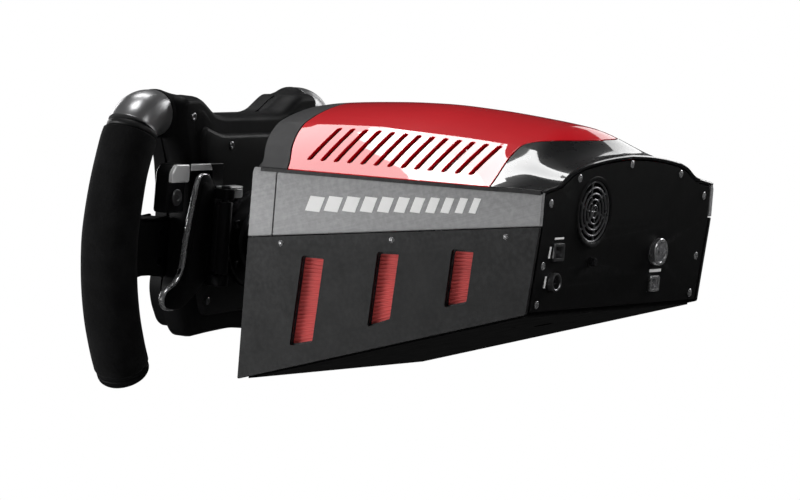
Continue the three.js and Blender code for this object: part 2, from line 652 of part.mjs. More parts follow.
// blade outline (x, z) on the right side
const PADDLE_OUTLINE = [
  [PIN_X + 5, PADDLE_Z[1]], [60, 42], [67, 48], [76, 47], [80, 40], [87, 10], [90, -14],
  [96, -27], [110, -33], [113, -41], [105, -47], [88, -46], [74, -38], [PIN_X + 5, PADDLE_Z[0]],
];
function paddle(side) {
  const pin = [side * PIN_X, PIN_Y];
  return union(
    prismY(side > 0 ? PADDLE_OUTLINE : mirrorX(PADDLE_OUTLINE), [-72.4, -69.2]),
    cylZ(pin, 5.4, PADDLE_Z, 14),
    box(span(side, PIN_X, PIN_X + 7), [-70, -64], PADDLE_Z),
  ).subtract(cylZ(pin, 2.8, [-60, 60], 12));
}
// plate with two ears and the pin, and an arm out to a block
function paddleBracket(side) {
  const plateY = [-75.7, -73.4];
  return union(
    box(span(side, 39, 54), plateY, [-31, 37]),
    box(span(side, 42, 54), [-74, -60], [-31, -23.6]),
    box(span(side, 42, 54), [-74, -60], [29.6, 37]),
    cylZ([side * PIN_X, PIN_Y], 2.3, [-30, 36], 12),
    box(span(side, 42, 56), plateY, [36, 52]),
    box(span(side, 42, 86), plateY, [50, 54]),
    box(span(side, 84, 106), [-77, -73.4], [50, 54]),
    box(span(side, 84, 106), [-88, -76.5], [20, 54]),
  );
}
for (const [side, tag] of SIDES) {
  put("grip_" + tag, grip(side), "suede");
  put("rim_corner_" + tag, rimCorner(side), "graphite");
  put("paddle_" + tag, paddle(side), "alu");
  put("paddle_bracket_" + tag, paddleBracket(side), "alu");
}
const framePlate = prismY(hubOutline(FRONT_HALF, 1), FRAME_Y);
put("rim_frame", union(framePlate, ...rimFrameSide(1), ...rimFrameSide(-1)), "alu");

// ---- wheel hub and release ring ----
const HUB_PROFILE = [
  [15.2, -75.7], [34, -75.7], [34, -69.6], [19.5, -67], [19.5, -23], [15.2, -23], [15.2, -75.7],
];
put("wheel_hub", latheY(HUB_PROFILE, 24), "alu");
put("release_ring", cut(
  cylY(AXIS, 30, [-54, -24], 24),
  cylY(AXIS, 20.4, [-60, -20], 24),
  ...circleOf(8, 31.4).map((flute) => cylY(flute, 3.4, [-50, -28], 6)),
), "black");

// ---- tray and control board, drawn in the row frame ----
// floor with a rail along each side, a central boss and two smaller ones
function baseTray() {
  const floorT = 7;
  const frontBottom = rowY(6.6, 0);
  const frontTop = rowY(6.6, floorT);
  const back = rowY(216.6, 0);
  const outline = [[frontBottom, 0], [back, 0], [back, floorT], [frontTop, floorT]];
  let tray = prismX(outline, INNER_SPAN);
  for (const [side] of SIDES) {
    tray = tray.add(box(span(side, 104, HALF_W - 8), [frontTop + 6, back - 8], [0, 18]));
  }
  tray = tray.add(cylZ([0, 60], 17, [0, 20], 20)).subtract(cylZ([0, 60], 7, [-1, 16], 16));
  for (const x of [-40, 40]) {
    tray = tray.add(cylZ([x, 60], 7, [0, 14], 12)).subtract(cylZ([x, 60], 2.5, [-1, 12], 10));
  }
  return tray;
}
// board on four posts with two blocks and two upright cylinders
function controlBoard() {
  const posts = [[-95, -4], [-60, -4], [-95, 80], [-60, 80]];
  return union(
    box([-99, -56], [-8, 84], [12, 13.6]),
    ...posts.map((post) => cylZ(post, 2.5, [7.4, 13], 8)),
    box([-94, -66], [8, 36], [13, 21]),
    cylZ([-84, 50], 5, [13, 27], 10),
    cylZ([-70, 50], 5, [13, 27], 10),
    box([-86, -70], [64, 74], [13, 19]),
  );
}
put("base_tray", baseTray(), "black", root);
put("control_board", controlBoard(), "pcb", root);

export default root;
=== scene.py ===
"""A motor-driven steering wheel controller: a desk base with the wheel on its front.

Pieces are modelled in millimetres in the steering frame: x to the right, y along the
steering axis from the wheel towards the rear, z square to both and upward. The front of
the base is at y = 0 and the wheel is at negative y. TO_WORLD turns this frame into the
metre, +Z up frame of the CAD pieces. A "shape" is a (vertices, faces) pair.
"""

import bmesh
import bpy
import json
import math
import numpy as np
from mathutils import Matrix, Vector


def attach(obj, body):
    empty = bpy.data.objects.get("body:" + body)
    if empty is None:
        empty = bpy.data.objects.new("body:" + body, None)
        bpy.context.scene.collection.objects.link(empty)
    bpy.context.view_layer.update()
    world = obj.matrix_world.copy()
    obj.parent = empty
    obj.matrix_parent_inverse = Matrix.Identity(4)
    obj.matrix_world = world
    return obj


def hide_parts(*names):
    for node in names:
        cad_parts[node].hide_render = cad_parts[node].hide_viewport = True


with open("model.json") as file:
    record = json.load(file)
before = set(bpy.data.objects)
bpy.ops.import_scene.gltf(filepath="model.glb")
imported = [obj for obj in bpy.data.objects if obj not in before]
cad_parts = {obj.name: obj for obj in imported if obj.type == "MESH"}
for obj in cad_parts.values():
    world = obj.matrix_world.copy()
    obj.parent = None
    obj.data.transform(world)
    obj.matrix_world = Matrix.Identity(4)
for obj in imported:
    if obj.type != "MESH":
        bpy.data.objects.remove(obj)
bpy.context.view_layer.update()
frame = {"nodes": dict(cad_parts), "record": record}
scene = bpy.context.scene

steering = next(joint for joint in frame["record"]["behaviour"]["joints"]
                if joint["name"] == "steering")
ORIGIN = Vector(steering["pos_m"])
ACROSS = Vector((1, 0, 0))
AXIS = Vector(steering["axis"]).normalized()
UPWARD = ACROSS.cross(AXIS).normalized()
TILT = math.atan2(-AXIS.z, AXIS.y)
MM_PER_M = 1000
TO_WORLD = (Matrix.Translation(ORIGIN)
            @ Matrix((ACROSS, AXIS, UPWARD)).transposed().to_4x4()
            @ Matrix.Scale(1 / MM_PER_M, 4))
SIDES = (("right", 1), ("left", -1))

# Base casing
HALF_WIDTH = 119.0
DEPTH = 227.5


# ------------------------------------------------------------------ shader helpers
def set_inputs(tree, node, inputs):
    """Link the inputs given as sockets and set the others as values."""
    for key, value in inputs.items():
        if isinstance(value, bpy.types.NodeSocket):
            tree.links.new(value, node.inputs[key])
        else:
            node.inputs[key].default_value = value


def add_node(tree, kind, inputs=None, **settings):
    node = tree.nodes.new("ShaderNode" + kind)
    for key, value in settings.items():
        setattr(node, key, value)
    set_inputs(tree, node, inputs or {})
    return node


def noise(tree, vector, scale, detail, roughness=0.5):
    return add_node(tree, "TexNoise", {"Vector": vector, "Scale": scale, "Detail": detail,
                                       "Roughness": roughness}).outputs["Fac"]


def remap(tree, value, from_min, from_max, to_min=0.0, to_max=1.0, **settings):
    return add_node(tree, "MapRange", {
        "Value": value, "From Min": from_min, "From Max": from_max,
        "To Min": to_min, "To Max": to_max}, **settings).outputs[0]


def mix_color(tree, factor, first, second, blend_type="MIX"):
    return add_node(tree, "Mix", {"Factor": factor, "A": first, "B": second},
                    data_type="RGBA", blend_type=blend_type).outputs["Result"]


def calculate(tree, operation, first, second):
    return add_node(tree, "Math", {0: first, 1: second}, operation=operation).outputs[0]


def color_ramp(tree, factor, first, last, *middle):
    """Colour ramp from (position, colour) stops."""
    node = add_node(tree, "ValToRGB", {"Fac": factor})
    elements = node.color_ramp.elements
    for element, (position, color) in zip(elements, (first, last)):
        element.position = position
        element.color = color
    for position, color in middle:
        elements.new(position).color = color
    return node.outputs["Color"]


def mix_shader(tree, factor, first, second):
    return add_node(tree, "MixShader", {0: factor, 1: first, 2: second}).outputs[0]


def opaque(red, green, blue):
    return (red, green, blue, 1)


def grey(level):
    return (level, level, level, 1)


# ------------------------------------------------------------------ materials
def make_material(name, color, rough, metal=0.0, spec=0.5, coat=0.0, coat_rough=0.03,
                  vary=0.06, rough_vary=0.06, grain=0.0, grain_scale=900.0,
                  brushed=None, wear=0.0, wear_color=None):
    """Principled surface with uneven colour and smudges.

    vary: share by which the colour drifts; rough_vary: swing of the roughness
    grain, grain_scale: strength and fineness of the bump
    brushed: noise scale per axis, for streaks; wear: strength of the bare edges
    """
    made = bpy.data.materials.new(name)
    made.use_nodes = True
    tree = made.node_tree
    tree.nodes.clear()
    surface = add_node(tree, "BsdfPrincipled", {
        "Metallic": metal, "Specular IOR Level": spec,
        "Coat Weight": coat, "Coat Roughness": coat_rough})
    add_node(tree, "OutputMaterial", {"Surface": surface.outputs[0]})
    coords = add_node(tree, "TexCoord").outputs["Object"]

    def cloud(scale, detail, vector=coords):
        return noise(tree, vector, scale, detail, roughness=0.55)

    shade = mix_color(tree, remap(tree, cloud(22, 3), 0.3, 0.7),
                      opaque(*[c * (1 - vary) for c in color]),
                      opaque(*[min(1, c * (1 + vary)) for c in color]))
    if brushed is not None:
        streaked = add_node(tree, "Mapping", {"Vector": coords, "Scale": brushed})
        fine = cloud(1.0, 5, streaked.outputs[0])
        streaks = color_ramp(tree, fine, (0.3, grey(0.72)), (0.7, grey(1)))
        shade = mix_color(tree, 0.55, shade, streaks, blend_type="MULTIPLY")
    elif grain:
        fine = cloud(grain_scale, 5)
    if wear:
        pointiness = add_node(tree, "NewGeometry").outputs["Pointiness"]
        edges = remap(tree, pointiness, 0.53, 0.62)
        patches = remap(tree, cloud(260, 4), 0.4, 0.65, to_max=wear)
        bare = wear_color or [min(1, c * 1.8 + 0.08) for c in color]
        shade = mix_color(tree, calculate(tree, "MULTIPLY", edges, patches),
                          shade, opaque(*bare))
    smudges = remap(tree, cloud(60, 5), 0.3, 0.7,
                    max(0.02, rough - rough_vary), rough + rough_vary)
    set_inputs(tree, surface, {"Base Color": shade, "Roughness": smudges})
    if grain or brushed is not None:
        bump = add_node(tree, "Bump", {"Strength": grain or 0.12, "Distance": 0.0003,
                                       "Height": fine})
        set_inputs(tree, surface, {"Normal": bump.outputs[0]})
    return made


def make_suede():
    """Black suede: mottled, matt, with a short nap."""
    made = bpy.data.materials.new("black_suede")
    made.use_nodes = True
    tree = made.node_tree
    coords = add_node(tree, "TexCoord").outputs["Object"]
    nap = noise(tree, coords, 1500, detail=6)
    mottle = noise(tree, coords, 55, detail=5)
    tufts = noise(tree, coords, 320, detail=4)
    blotches = remap(tree, calculate(tree, "MULTIPLY", nap, mottle), 0.12, 0.4)
    bump = add_node(tree, "Bump", {"Strength": 0.7, "Distance": 0.0005,
                                   "Height": calculate(tree, "ADD", nap, tufts)})
    set_inputs(tree, tree.nodes["Principled BSDF"], {
        "Base Color": mix_color(tree, blotches, opaque(0.0020, 0.0020, 0.0022),
                                opaque(0.0068, 0.0068, 0.0072)),
        "Roughness": 0.95, "Specular IOR Level": 0.15, "Sheen Weight": 0.12,
        "Sheen Roughness": 0.4, "Sheen Tint": opaque(0.35, 0.35, 0.36),
        "Normal": bump.outputs[0]})
    return made


MATERIALS = {
    "red": make_material(
        "red_gloss_paint", color=(0.80, 0.0030, 0.013), rough=0.42, coat=1.0,
        coat_rough=0.02, vary=0.03, spec=0.04, rough_vary=0.02),
    "black_gloss": make_material(
        "black_gloss_paint", color=(0.006, 0.006, 0.0065), rough=0.30, coat=1.0,
        coat_rough=0.04, vary=0.1, spec=0.1),
    "cap": make_material(
        "dark_satin_plastic", color=(0.024, 0.024, 0.0255), rough=0.50, grain=0.10,
        grain_scale=1800, vary=0.05, wear=0.25, spec=0.2),
    "trim": make_material(
        "grey_brushed_trim", color=(0.30, 0.301, 0.305), rough=0.42, metal=0.15,
        brushed=(30, 30, 1500), vary=0.04, wear=0.5, wear_color=(0.62, 0.62, 0.63),
        spec=0.45),
    "panel": make_material(
        "graphite_powder_coat", color=(0.0118, 0.0122, 0.0126), rough=0.56, grain=0.30,
        grain_scale=2200, vary=0.10, wear=0.5, wear_color=(0.10, 0.10, 0.105), spec=0.3),
    # darker copy of the black moulded plastic: painted shade for the back, which faces away
    # from the lamps
    "back": make_material(
        "black_plastic_painted_shade", color=(0.0045, 0.0045, 0.0048), rough=0.50, grain=0.25,
        grain_scale=2000, vary=0.15, wear=0.3, wear_color=(0.05, 0.05, 0.052), spec=0.2),
    "vent": make_material(
        "red_vent_insert", color=(0.72, 0.105, 0.100), rough=0.62, grain=0.6,
        grain_scale=900, vary=0.18, spec=0.3),
    "black": make_material(
        "black_moulded_plastic", color=(0.0065, 0.0065, 0.007), rough=0.45, grain=0.4,
        grain_scale=1900, vary=0.15, wear=0.35, wear_color=(0.05, 0.05, 0.052), spec=0.3),
    "shell": make_material(
        "black_hub_plastic", color=(0.0070, 0.0070, 0.0075), rough=0.50, grain=0.22,
        grain_scale=1700, vary=0.12, wear=0.2, wear_color=(0.03, 0.03, 0.032), spec=0.07),
    "hubfield": make_material(
        "hub_field_plastic", color=(0.0125, 0.0125, 0.013), rough=0.42, grain=0.35,
        grain_scale=1300, vary=0.12, wear=0.3, wear_color=(0.07, 0.07, 0.072), spec=0.12),
    "face": make_material(
        "brushed_graphite_sheet", color=(0.045, 0.045, 0.048), rough=0.36, metal=0.85,
        brushed=(18, 900, 1500), vary=0.06),
    "gripcap": make_material(
        "corner_satin_metal_paint", color=(0.27, 0.27, 0.275), rough=0.32, metal=0.75,
        coat=0.3, coat_rough=0.12, grain=0.015, grain_scale=2600, vary=0.0,
        rough_vary=0.0),
    "dark_alu": make_material(
        "dark_brushed_aluminium", color=(0.085, 0.085, 0.09), rough=0.34, metal=1.0,
        brushed=(40, 900, 1400), vary=0.06, wear=0.7, wear_color=(0.45, 0.45, 0.46)),
    "paddle": make_material(
        "paddle_dark_metal", color=(0.018, 0.018, 0.0195), rough=0.34, metal=0.7,
        brushed=(700, 700, 40), vary=0.05),
    "alu": make_material(
        "brushed_aluminium", color=(0.52, 0.52, 0.54), rough=0.32, metal=1.0,
        brushed=(40, 900, 900), vary=0.06),
    "steel": make_material(
        "machined_steel", color=(0.50, 0.50, 0.51), rough=0.34, metal=1.0,
        brushed=(60, 1200, 60), vary=0.06),
    "blacksteel": make_material(
        "black_wire_steel", color=(0.34, 0.34, 0.35), rough=0.30, metal=0.9,
        brushed=(60, 900, 60), vary=0.06, wear=0.4, wear_color=(0.3, 0.3, 0.31)),
    # near-white diffuse on metal parts: painted reflection standing in for chrome glints where
    # no lamp is mirrored
    "bright": make_material(
        "painted_reflection_metal", color=(0.93, 0.93, 0.93), rough=0.30, metal=0.45, grain=0.05,
        grain_scale=2400, vary=0.01, rough_vary=0.01),
    "chrome": make_material(
        "polished_chrome", color=(0.78, 0.78, 0.79), rough=0.27, metal=0.86, vary=0.01,
        rough_vary=0.01),
    "rubber": make_material(
        "belt_rubber", color=(0.012, 0.012, 0.012), rough=0.75, grain=0.5,
        grain_scale=1200, vary=0.2),
    "board": make_material(
        "circuit_board", color=(0.008, 0.07, 0.025), rough=0.4, coat=0.4, grain=0.3,
        grain_scale=600, vary=0.25),
    "white": make_material(
        "white_pad_print", color=(0.96, 0.96, 0.95), rough=0.42, grain=0.1,
        grain_scale=1500, vary=0.03),
    "gloss_button": make_material(
        "button_gloss", color=(0.010, 0.010, 0.011), rough=0.18, coat=0.6, vary=0.12,
        wear=0.2),
    "btn_red": make_material(
        "button_red", color=(0.42, 0.008, 0.012), rough=0.24, coat=0.6, vary=0.08,
        wear=0.2),
    "lens": make_material(
        "smoked_lens", color=(0.03, 0.004, 0.005), rough=0.10, coat=1.0, vary=0.1),
    "suede": make_suede(),
    "thread": make_material(
        "waxed_thread", color=(0.05, 0.05, 0.052), rough=0.6, grain=0.5,
        grain_scale=3000, vary=0.2),
}


# ------------------------------------------------------------------ interpolation
def smooth_lookup(table, at):
    """Monotone cubic through (key, value) pairs, held flat past both ends."""
    keys, values = zip(*table)
    if at <= keys[0]:
        return values[0]
    if at >= keys[-1]:
        return values[-1]
    slopes = [(values[i + 1] - values[i]) / (keys[i + 1] - keys[i])
              for i in range(len(keys) - 1)]
    inner = [0 if a * b <= 0 else 2 * a * b / (a + b) for a, b in zip(slopes, slopes[1:])]
    grads = [slopes[0], *inner, slopes[-1]]
    i = max(k for k in range(len(keys) - 1) if keys[k] <= at)
    width = keys[i + 1] - keys[i]
    t = (at - keys[i]) / width
    return ((2 * t ** 3 - 3 * t ** 2 + 1) * values[i]
            + (t ** 3 - 2 * t * t + t) * width * grads[i]
            + (3 * t * t - 2 * t ** 3) * values[i + 1]
            + (t ** 3 - t * t) * width * grads[i + 1])


def smoothstep(at, start, end):
    t = min(1, max(0, (at - start) / (end - start)))
    return t * t * (3 - 2 * t)


def spline(path, count):
    """count + 1 Catmull-Rom samples of a plane path."""
    knots = [Vector(point) for point in path]
    knots = [knots[0] * 2 - knots[1]] + knots + [knots[-1] * 2 - knots[-2]]
    spans = len(knots) - 3
    samples = []
    for i in range(count + 1):
        at = i / count * spans
        k = min(int(at), spans - 1)
        t = at - k
        a, b, c, d = knots[k:k + 4]
        samples.append(0.5 * ((2 * b) + (c - a) * t + (2 * a - 5 * b + 4 * c - d) * t * t
                              + (3 * b - a - 3 * c + d) * t ** 3))
    return samples


def path_at(path, t, count=400):
    """Point and unit direction at t from 0 to 1."""
    samples = spline(path, count)
    i = max(1, min(count - 1, int(round(t * count))))
    k = max(0, min(count - 1, int(t * count)))
    point = samples[k].lerp(samples[k + 1], t * count - k)
    return point, (samples[i + 1] - samples[i - 1]).normalized()


def square_off(value, power):
    """Signed power; below 1 it squares off a circle's sine and cosine."""
    return math.copysign(abs(value) ** power, value)


# ------------------------------------------------------------------ plane outlines
def circle(centre, radius, segments, phase=0.0):
    angles = [phase + 2 * math.pi * i / segments for i in range(segments)]
    return [(centre[0] + radius * math.cos(a), centre[1] + radius * math.sin(a))
            for a in angles]


def rect(left, right, low, high):
    return [(left, low), (right, low), (right, high), (left, high)]


def rounded(points, radius, steps=4):
    """Outline with its corners rounded."""
    outline = []
    for i, point in enumerate(points):
        corner = Vector(point)
        before = Vector(points[i - 1]) - corner
        after = Vector(points[(i + 1) % len(points)]) - corner
        reach = min(radius, before.length * 0.45, after.length * 0.45)
        if reach < 0.05:
            outline.append(tuple(corner))
            continue
        start = corner + before.normalized() * reach
        end = corner + after.normalized() * reach
        for step in range(steps + 1):
            t = step / steps
            outline.append(tuple((1 - t) ** 2 * start + 2 * t * (1 - t) * corner
                                 + t * t * end))
    return outline


def shrink(points, distance):
    """Outline with each point moved towards the middle."""
    middle = Vector((sum(p[0] for p in points) / len(points),
                     sum(p[1] for p in points) / len(points)))
    return [tuple(Vector(p) + (middle - Vector(p)).normalized() * distance)
            for p in points]


def offset(points, distance):
    """Closed outline with its edges moved inward."""
    following = points[1:] + points[:1]
    area = sum(p[0] * q[1] - q[0] * p[1] for p, q in zip(points, following))
    turn = 1 if area > 0 else -1
    moved = []
    for i, point in enumerate(points):
        corner = Vector(point)
        arriving = (corner - Vector(points[i - 1])).normalized()
        leaving = (Vector(following[i]) - corner).normalized()
        normal = Vector((-arriving.y, arriving.x)) * turn
        inward = normal + Vector((-leaving.y, leaving.x)) * turn
        inward = inward.normalized() if inward.length > 1e-6 else normal
        reach = min(distance / max(0.5, inward.dot(normal)), distance * 1.6)
        moved.append(tuple(corner + inward * reach))
    return moved


def mirrored(side, points):
    return [(side * p[0], p[1]) for p in points]


def in_pairs(points):
    """Each point on the right, then on the left."""
    return [(side * x, z) for x, z in points for side in (1, -1)]


def span(side, inner, outer):
    """Range in x on the right (side 1) or the left (side -1)."""
    return (inner, outer) if side > 0 else (-outer, -inner)


def whole(half):
    """Full outline from its right half, listed from the top middle to the bottom."""
    return list(half) + [(-x, z) for x, z in reversed(half)][1:-1]


def hub_ring(half, inset, radius):
    """Full outline, moved inward before its corners are rounded so no loop can form."""
    outline = offset(whole(half), inset) if inset else whole(half)
    return rounded(outline, max(1.2, radius - 0.5 * inset), 6)


# ------------------------------------------------------------------ shapes
def place(axis, first, second, height):
    """Point from two plane coordinates and the height along the axis square to them."""
    return {"x": (height, first, second), "y": (first, height, second),
            "z": (first, second, height)}[axis]


def skin(rings, count, looped=False):
    """Faces over rings of count vertices; looped joins last to first, else ends close."""
    faces = []
    for k in range(rings if looped else rings - 1):
        near, far = k * count, (k + 1) % rings * count
        for i in range(count):
            j = (i + 1) % count
            faces.append([near + i, near + j, far + j, far + i])
    if not looped:
        faces += [list(range(count))[::-1], [(rings - 1) * count + i for i in range(count)]]
    return faces


def join(shapes):
    verts, faces = [], []
    for more_verts, more_faces in shapes:
        first = len(verts)
        verts += list(more_verts)
        faces += [[i + first for i in face] for face in more_faces]
    return verts, faces


def lathe(profile, segments, centre=(0, 0), axis="y"):
    """Turned shape; profile lists (radius, height along the axis)."""
    verts, rings = [], []
    for radius, height in profile:
        first = len(verts)
        if radius < 1e-6:
            verts.append(place(axis, *centre, height))
            rings.append([first] * segments)
        else:
            verts += [place(axis, *p, height) for p in circle(centre, radius, segments)]
            rings.append(list(range(first, first + segments)))
    faces = []
    for near, far in zip(rings, rings[1:]):
        for i in range(segments):
            j = (i + 1) % segments
            # a ring that is a single pole repeats a corner
            corners = list(dict.fromkeys([near[i], near[j], far[j], far[i]]))
            if len(corners) > 2:
                faces.append(corners)
    return verts, faces


def lathes(profile, segments, centres):
    return join([lathe(profile, segments, centre) for centre in centres])


def fluted(profile, segments, centre, cut, looped=False):
    """Turned grip; cut(radius, y, angle) is how deep the flutes go."""
    verts = []
    for radius, y in profile:
        for i in range(segments):
            angle = 2 * math.pi * i / segments
            reach = radius - cut(radius, y, angle)
            verts.append((centre[0] + reach * math.cos(angle), y,
                          centre[1] + reach * math.sin(angle)))
    return verts, skin(len(profile), segments, looped)


def prism(outline, start, end, axis="y"):
    verts = [place(axis, *p, height) for height in (start, end) for p in outline]
    return verts, skin(2, len(outline))


def loft(rings):
    """Shape through (outline, y) rings."""
    verts = [(p[0], y, p[1]) for outline, y in rings for p in outline]
    return verts, skin(len(rings), len(rings[0][0]))


def stack(outline, steps, side=1):
    """Slab with shaped edges; steps lists (inset of the outline, y)."""
    return loft([(mirrored(side, offset(outline, inset) if inset else outline), y)
                 for inset, y in steps])


def tube(path, radius, segments, closed=False):
    points = [Vector(point) for point in path]
    last = len(points) - 1
    verts, previous = [], None
    for k, point in enumerate(points):
        ahead = points[(k + 1) % len(points) if closed else min(k + 1, last)]
        behind = points[(k - 1) % len(points) if closed else max(k - 1, 0)]
        direction = (ahead - behind).normalized()
        if previous is None:
            previous = Vector((0, 0, 1)) if abs(direction.z) < 0.9 else Vector((0, 1, 0))
        first = (previous - direction * previous.dot(direction)).normalized()
        previous = first
        second = direction.cross(first)
        for i in range(segments):
            angle = 2 * math.pi * i / segments
            verts.append(tuple(point + first * (radius * math.cos(angle))
                               + second * (radius * math.sin(angle))))
    return verts, skin(len(points), segments, closed)


def hoop(radius, y, wire, count, centre=(0, 0)):
    path = [(x, y, z) for x, z in circle(centre, radius, count)]
    return tube(path, wire, 8, closed=True)


# ------------------------------------------------------------------ objects
def finish(obj, body, material, slot, replaces=None, bevel=0.0, angle=35, segments=2):
    """Material, smoothing and edge bevel, then the body it rides and the CAD it covers."""
    obj.data.materials.clear()
    obj.data.materials.append(MATERIALS[material])
    for polygon in obj.data.polygons:
        polygon.use_smooth = True
    obj.data.set_sharp_from_angle(angle=math.radians(angle))
    if bevel:
        edge = obj.modifiers.new("edge", "BEVEL")
        edge.width = bevel / MM_PER_M
        edge.segments = segments
        edge.limit_method = "ANGLE"
        edge.angle_limit = math.radians(30)
        edge.harden_normals = True
        edge.use_clamp_overlap = True
    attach(obj, body)
    if replaces:
        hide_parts(replaces)


def mesh_object(name, shape):
    verts, faces = shape
    mesh = bpy.data.meshes.new(name)
    mesh.from_pydata([tuple(TO_WORLD @ Vector(p)) for p in verts], [], faces)
    mesh.validate()
    work = bmesh.new()
    work.from_mesh(mesh)
    bmesh.ops.remove_doubles(work, verts=work.verts, dist=1e-6)
    bmesh.ops.recalc_face_normals(work, faces=work.faces)
    work.to_mesh(mesh)
    work.free()
    obj = bpy.data.objects.new(name, mesh)
    scene.collection.objects.link(obj)
    return obj


def add(name, shape, body, material, slot, replaces=None, **edges):
    finish(mesh_object(name, shape), body, material, slot, replaces, **edges)


def plate(name, outline, holes, start, end, axis="y"):
    """Flat plate with holes, filled as a curve and stood between two heights."""
    curve = bpy.data.curves.new(name, "CURVE")
    curve.dimensions = "2D"
    curve.fill_mode = "BOTH"
    for ring in [outline] + list(holes):
        poly = curve.splines.new("POLY")
        poly.points.add(len(ring) - 1)
        for point, (first, second) in zip(poly.points, ring):
            point.co = (first, second, 0, 1)
        poly.use_cyclic_u = True
    curve.extrude = abs(end - start) / 2
    source = bpy.data.objects.new(name, curve)
    scene.collection.objects.link(source)
    graph = bpy.context.evaluated_depsgraph_get()
    mesh = bpy.data.meshes.new_from_object(source.evaluated_get(graph))
    bpy.data.objects.remove(source)
    middle = (start + end) / 2
    for vert in mesh.vertices:
        x, y, z = vert.co
        vert.co = TO_WORLD @ Vector(place(axis, x, y, middle + z))
    work = bmesh.new()
    work.from_mesh(mesh)
    bmesh.ops.remove_doubles(work, verts=work.verts, dist=2e-6)
    bmesh.ops.dissolve_limit(work, angle_limit=math.radians(1), verts=work.verts,
                             edges=work.edges)
    bmesh.ops.recalc_face_normals(work, faces=work.faces)
    work.to_mesh(mesh)
    work.free()
    mesh.name = name
    obj = bpy.data.objects.new(name, mesh)
    scene.collection.objects.link(obj)
    return obj


# ------------------------------------------------------------------ base: roof
# Heights along the base: (y, z)
SIDE_TOP = [(-20, 60.4), (DEPTH, 68.2)]
SHOULDER = [(-20, 88.6), (3, 90.4), (35, 92.6), (75, 94.2), (115, 94.2), (165, 93.3),
            (186, 91.6), (210, 88), (228, 84)]
RIDGE = [(-20, 99.5), (-7, 102.3), (30, 106.8), (60, 109.3), (90, 110.5), (120, 110),
         (150, 108.5), (180, 106), (200, 102.5), (215, 97.5), (228, 90)]
# Cross-section at the rear: (distance from the middle, z)
REAR_SECTION = [(0, 90), (22, 89.1), (44, 87.2), (66, 84), (79, 80.4), (94, 73.0),
                (112, 69.7), (118.6, 68.6)]
# Bow of the two roof seams: (distance from the middle, shift in y)
FRONT_BOW = [(0, -24), (22, -24), (44, -23.5), (66, -22), (79, -19), (94, -13),
             (112, -3), (118.6, 0)]
REAR_BOW = [(0, 24), (22, 21), (44, 13), (66, 0), (79, 1), (94, 4), (112, 8), (118.6, 9)]
ROOF_CREASE = 66  # x where the dome meets the side band
ROOF_EDGE = 118.6
ROOF_THICK = 2.4
FRONT_SEAM, REAR_SEAM, ROOF_GAP = 26.8, 176.8, 0.8
# Cooling slits across both side bands
SLIT_COUNT, SLIT_PITCH, SLIT_FIRST, SLIT_HALF = 13, 10.6, 37, 1.8
SLIT_INNER, SLIT_OUTER = 70.4, 107.8
SLIT_CORNER = 0.8
SLITS = [(SLIT_FIRST + i * SLIT_PITCH - SLIT_HALF, SLIT_FIRST + i * SLIT_PITCH + SLIT_HALF)
         for i in range(SLIT_COUNT)]


def roof_z(x, y):
    x = abs(x)
    low = smooth_lookup(SIDE_TOP, y) + 0.4
    shoulder = smooth_lookup(SHOULDER, y)
    if x < ROOF_CREASE:
        ridge = smooth_lookup(RIDGE, y)
        creased = shoulder + (ridge - shoulder) * (1 - (x / ROOF_CREASE) ** 1.75)
    else:
        t = (ROOF_EDGE - x) / (ROOF_EDGE - ROOF_CREASE)
        creased = low + (shoulder - low) * t + 0.9 * math.sin(math.pi * t)
    # the crease fades out towards the rear
    rear = smoothstep(y, 182, 228)
    return creased * (1 - rear) + smooth_lookup(REAR_SECTION, x) * rear


def front_bow(x):
    return smooth_lookup(FRONT_BOW, abs(x))


def rear_bow(x):
    return smooth_lookup(REAR_BOW, abs(x))


def in_slit(x, y):
    """Whether a roof cell is open; the corner cells of each slit stay."""
    x = abs(x)
    if not SLIT_INNER < x < SLIT_OUTER:
        return False
    at_end = x < SLIT_INNER + SLIT_CORNER or x > SLIT_OUTER - SLIT_CORNER
    for start, end in SLITS:
        if start < y < end:
            return not (at_end and (y < start + SLIT_CORNER or y > end - SLIT_CORNER))
    return False


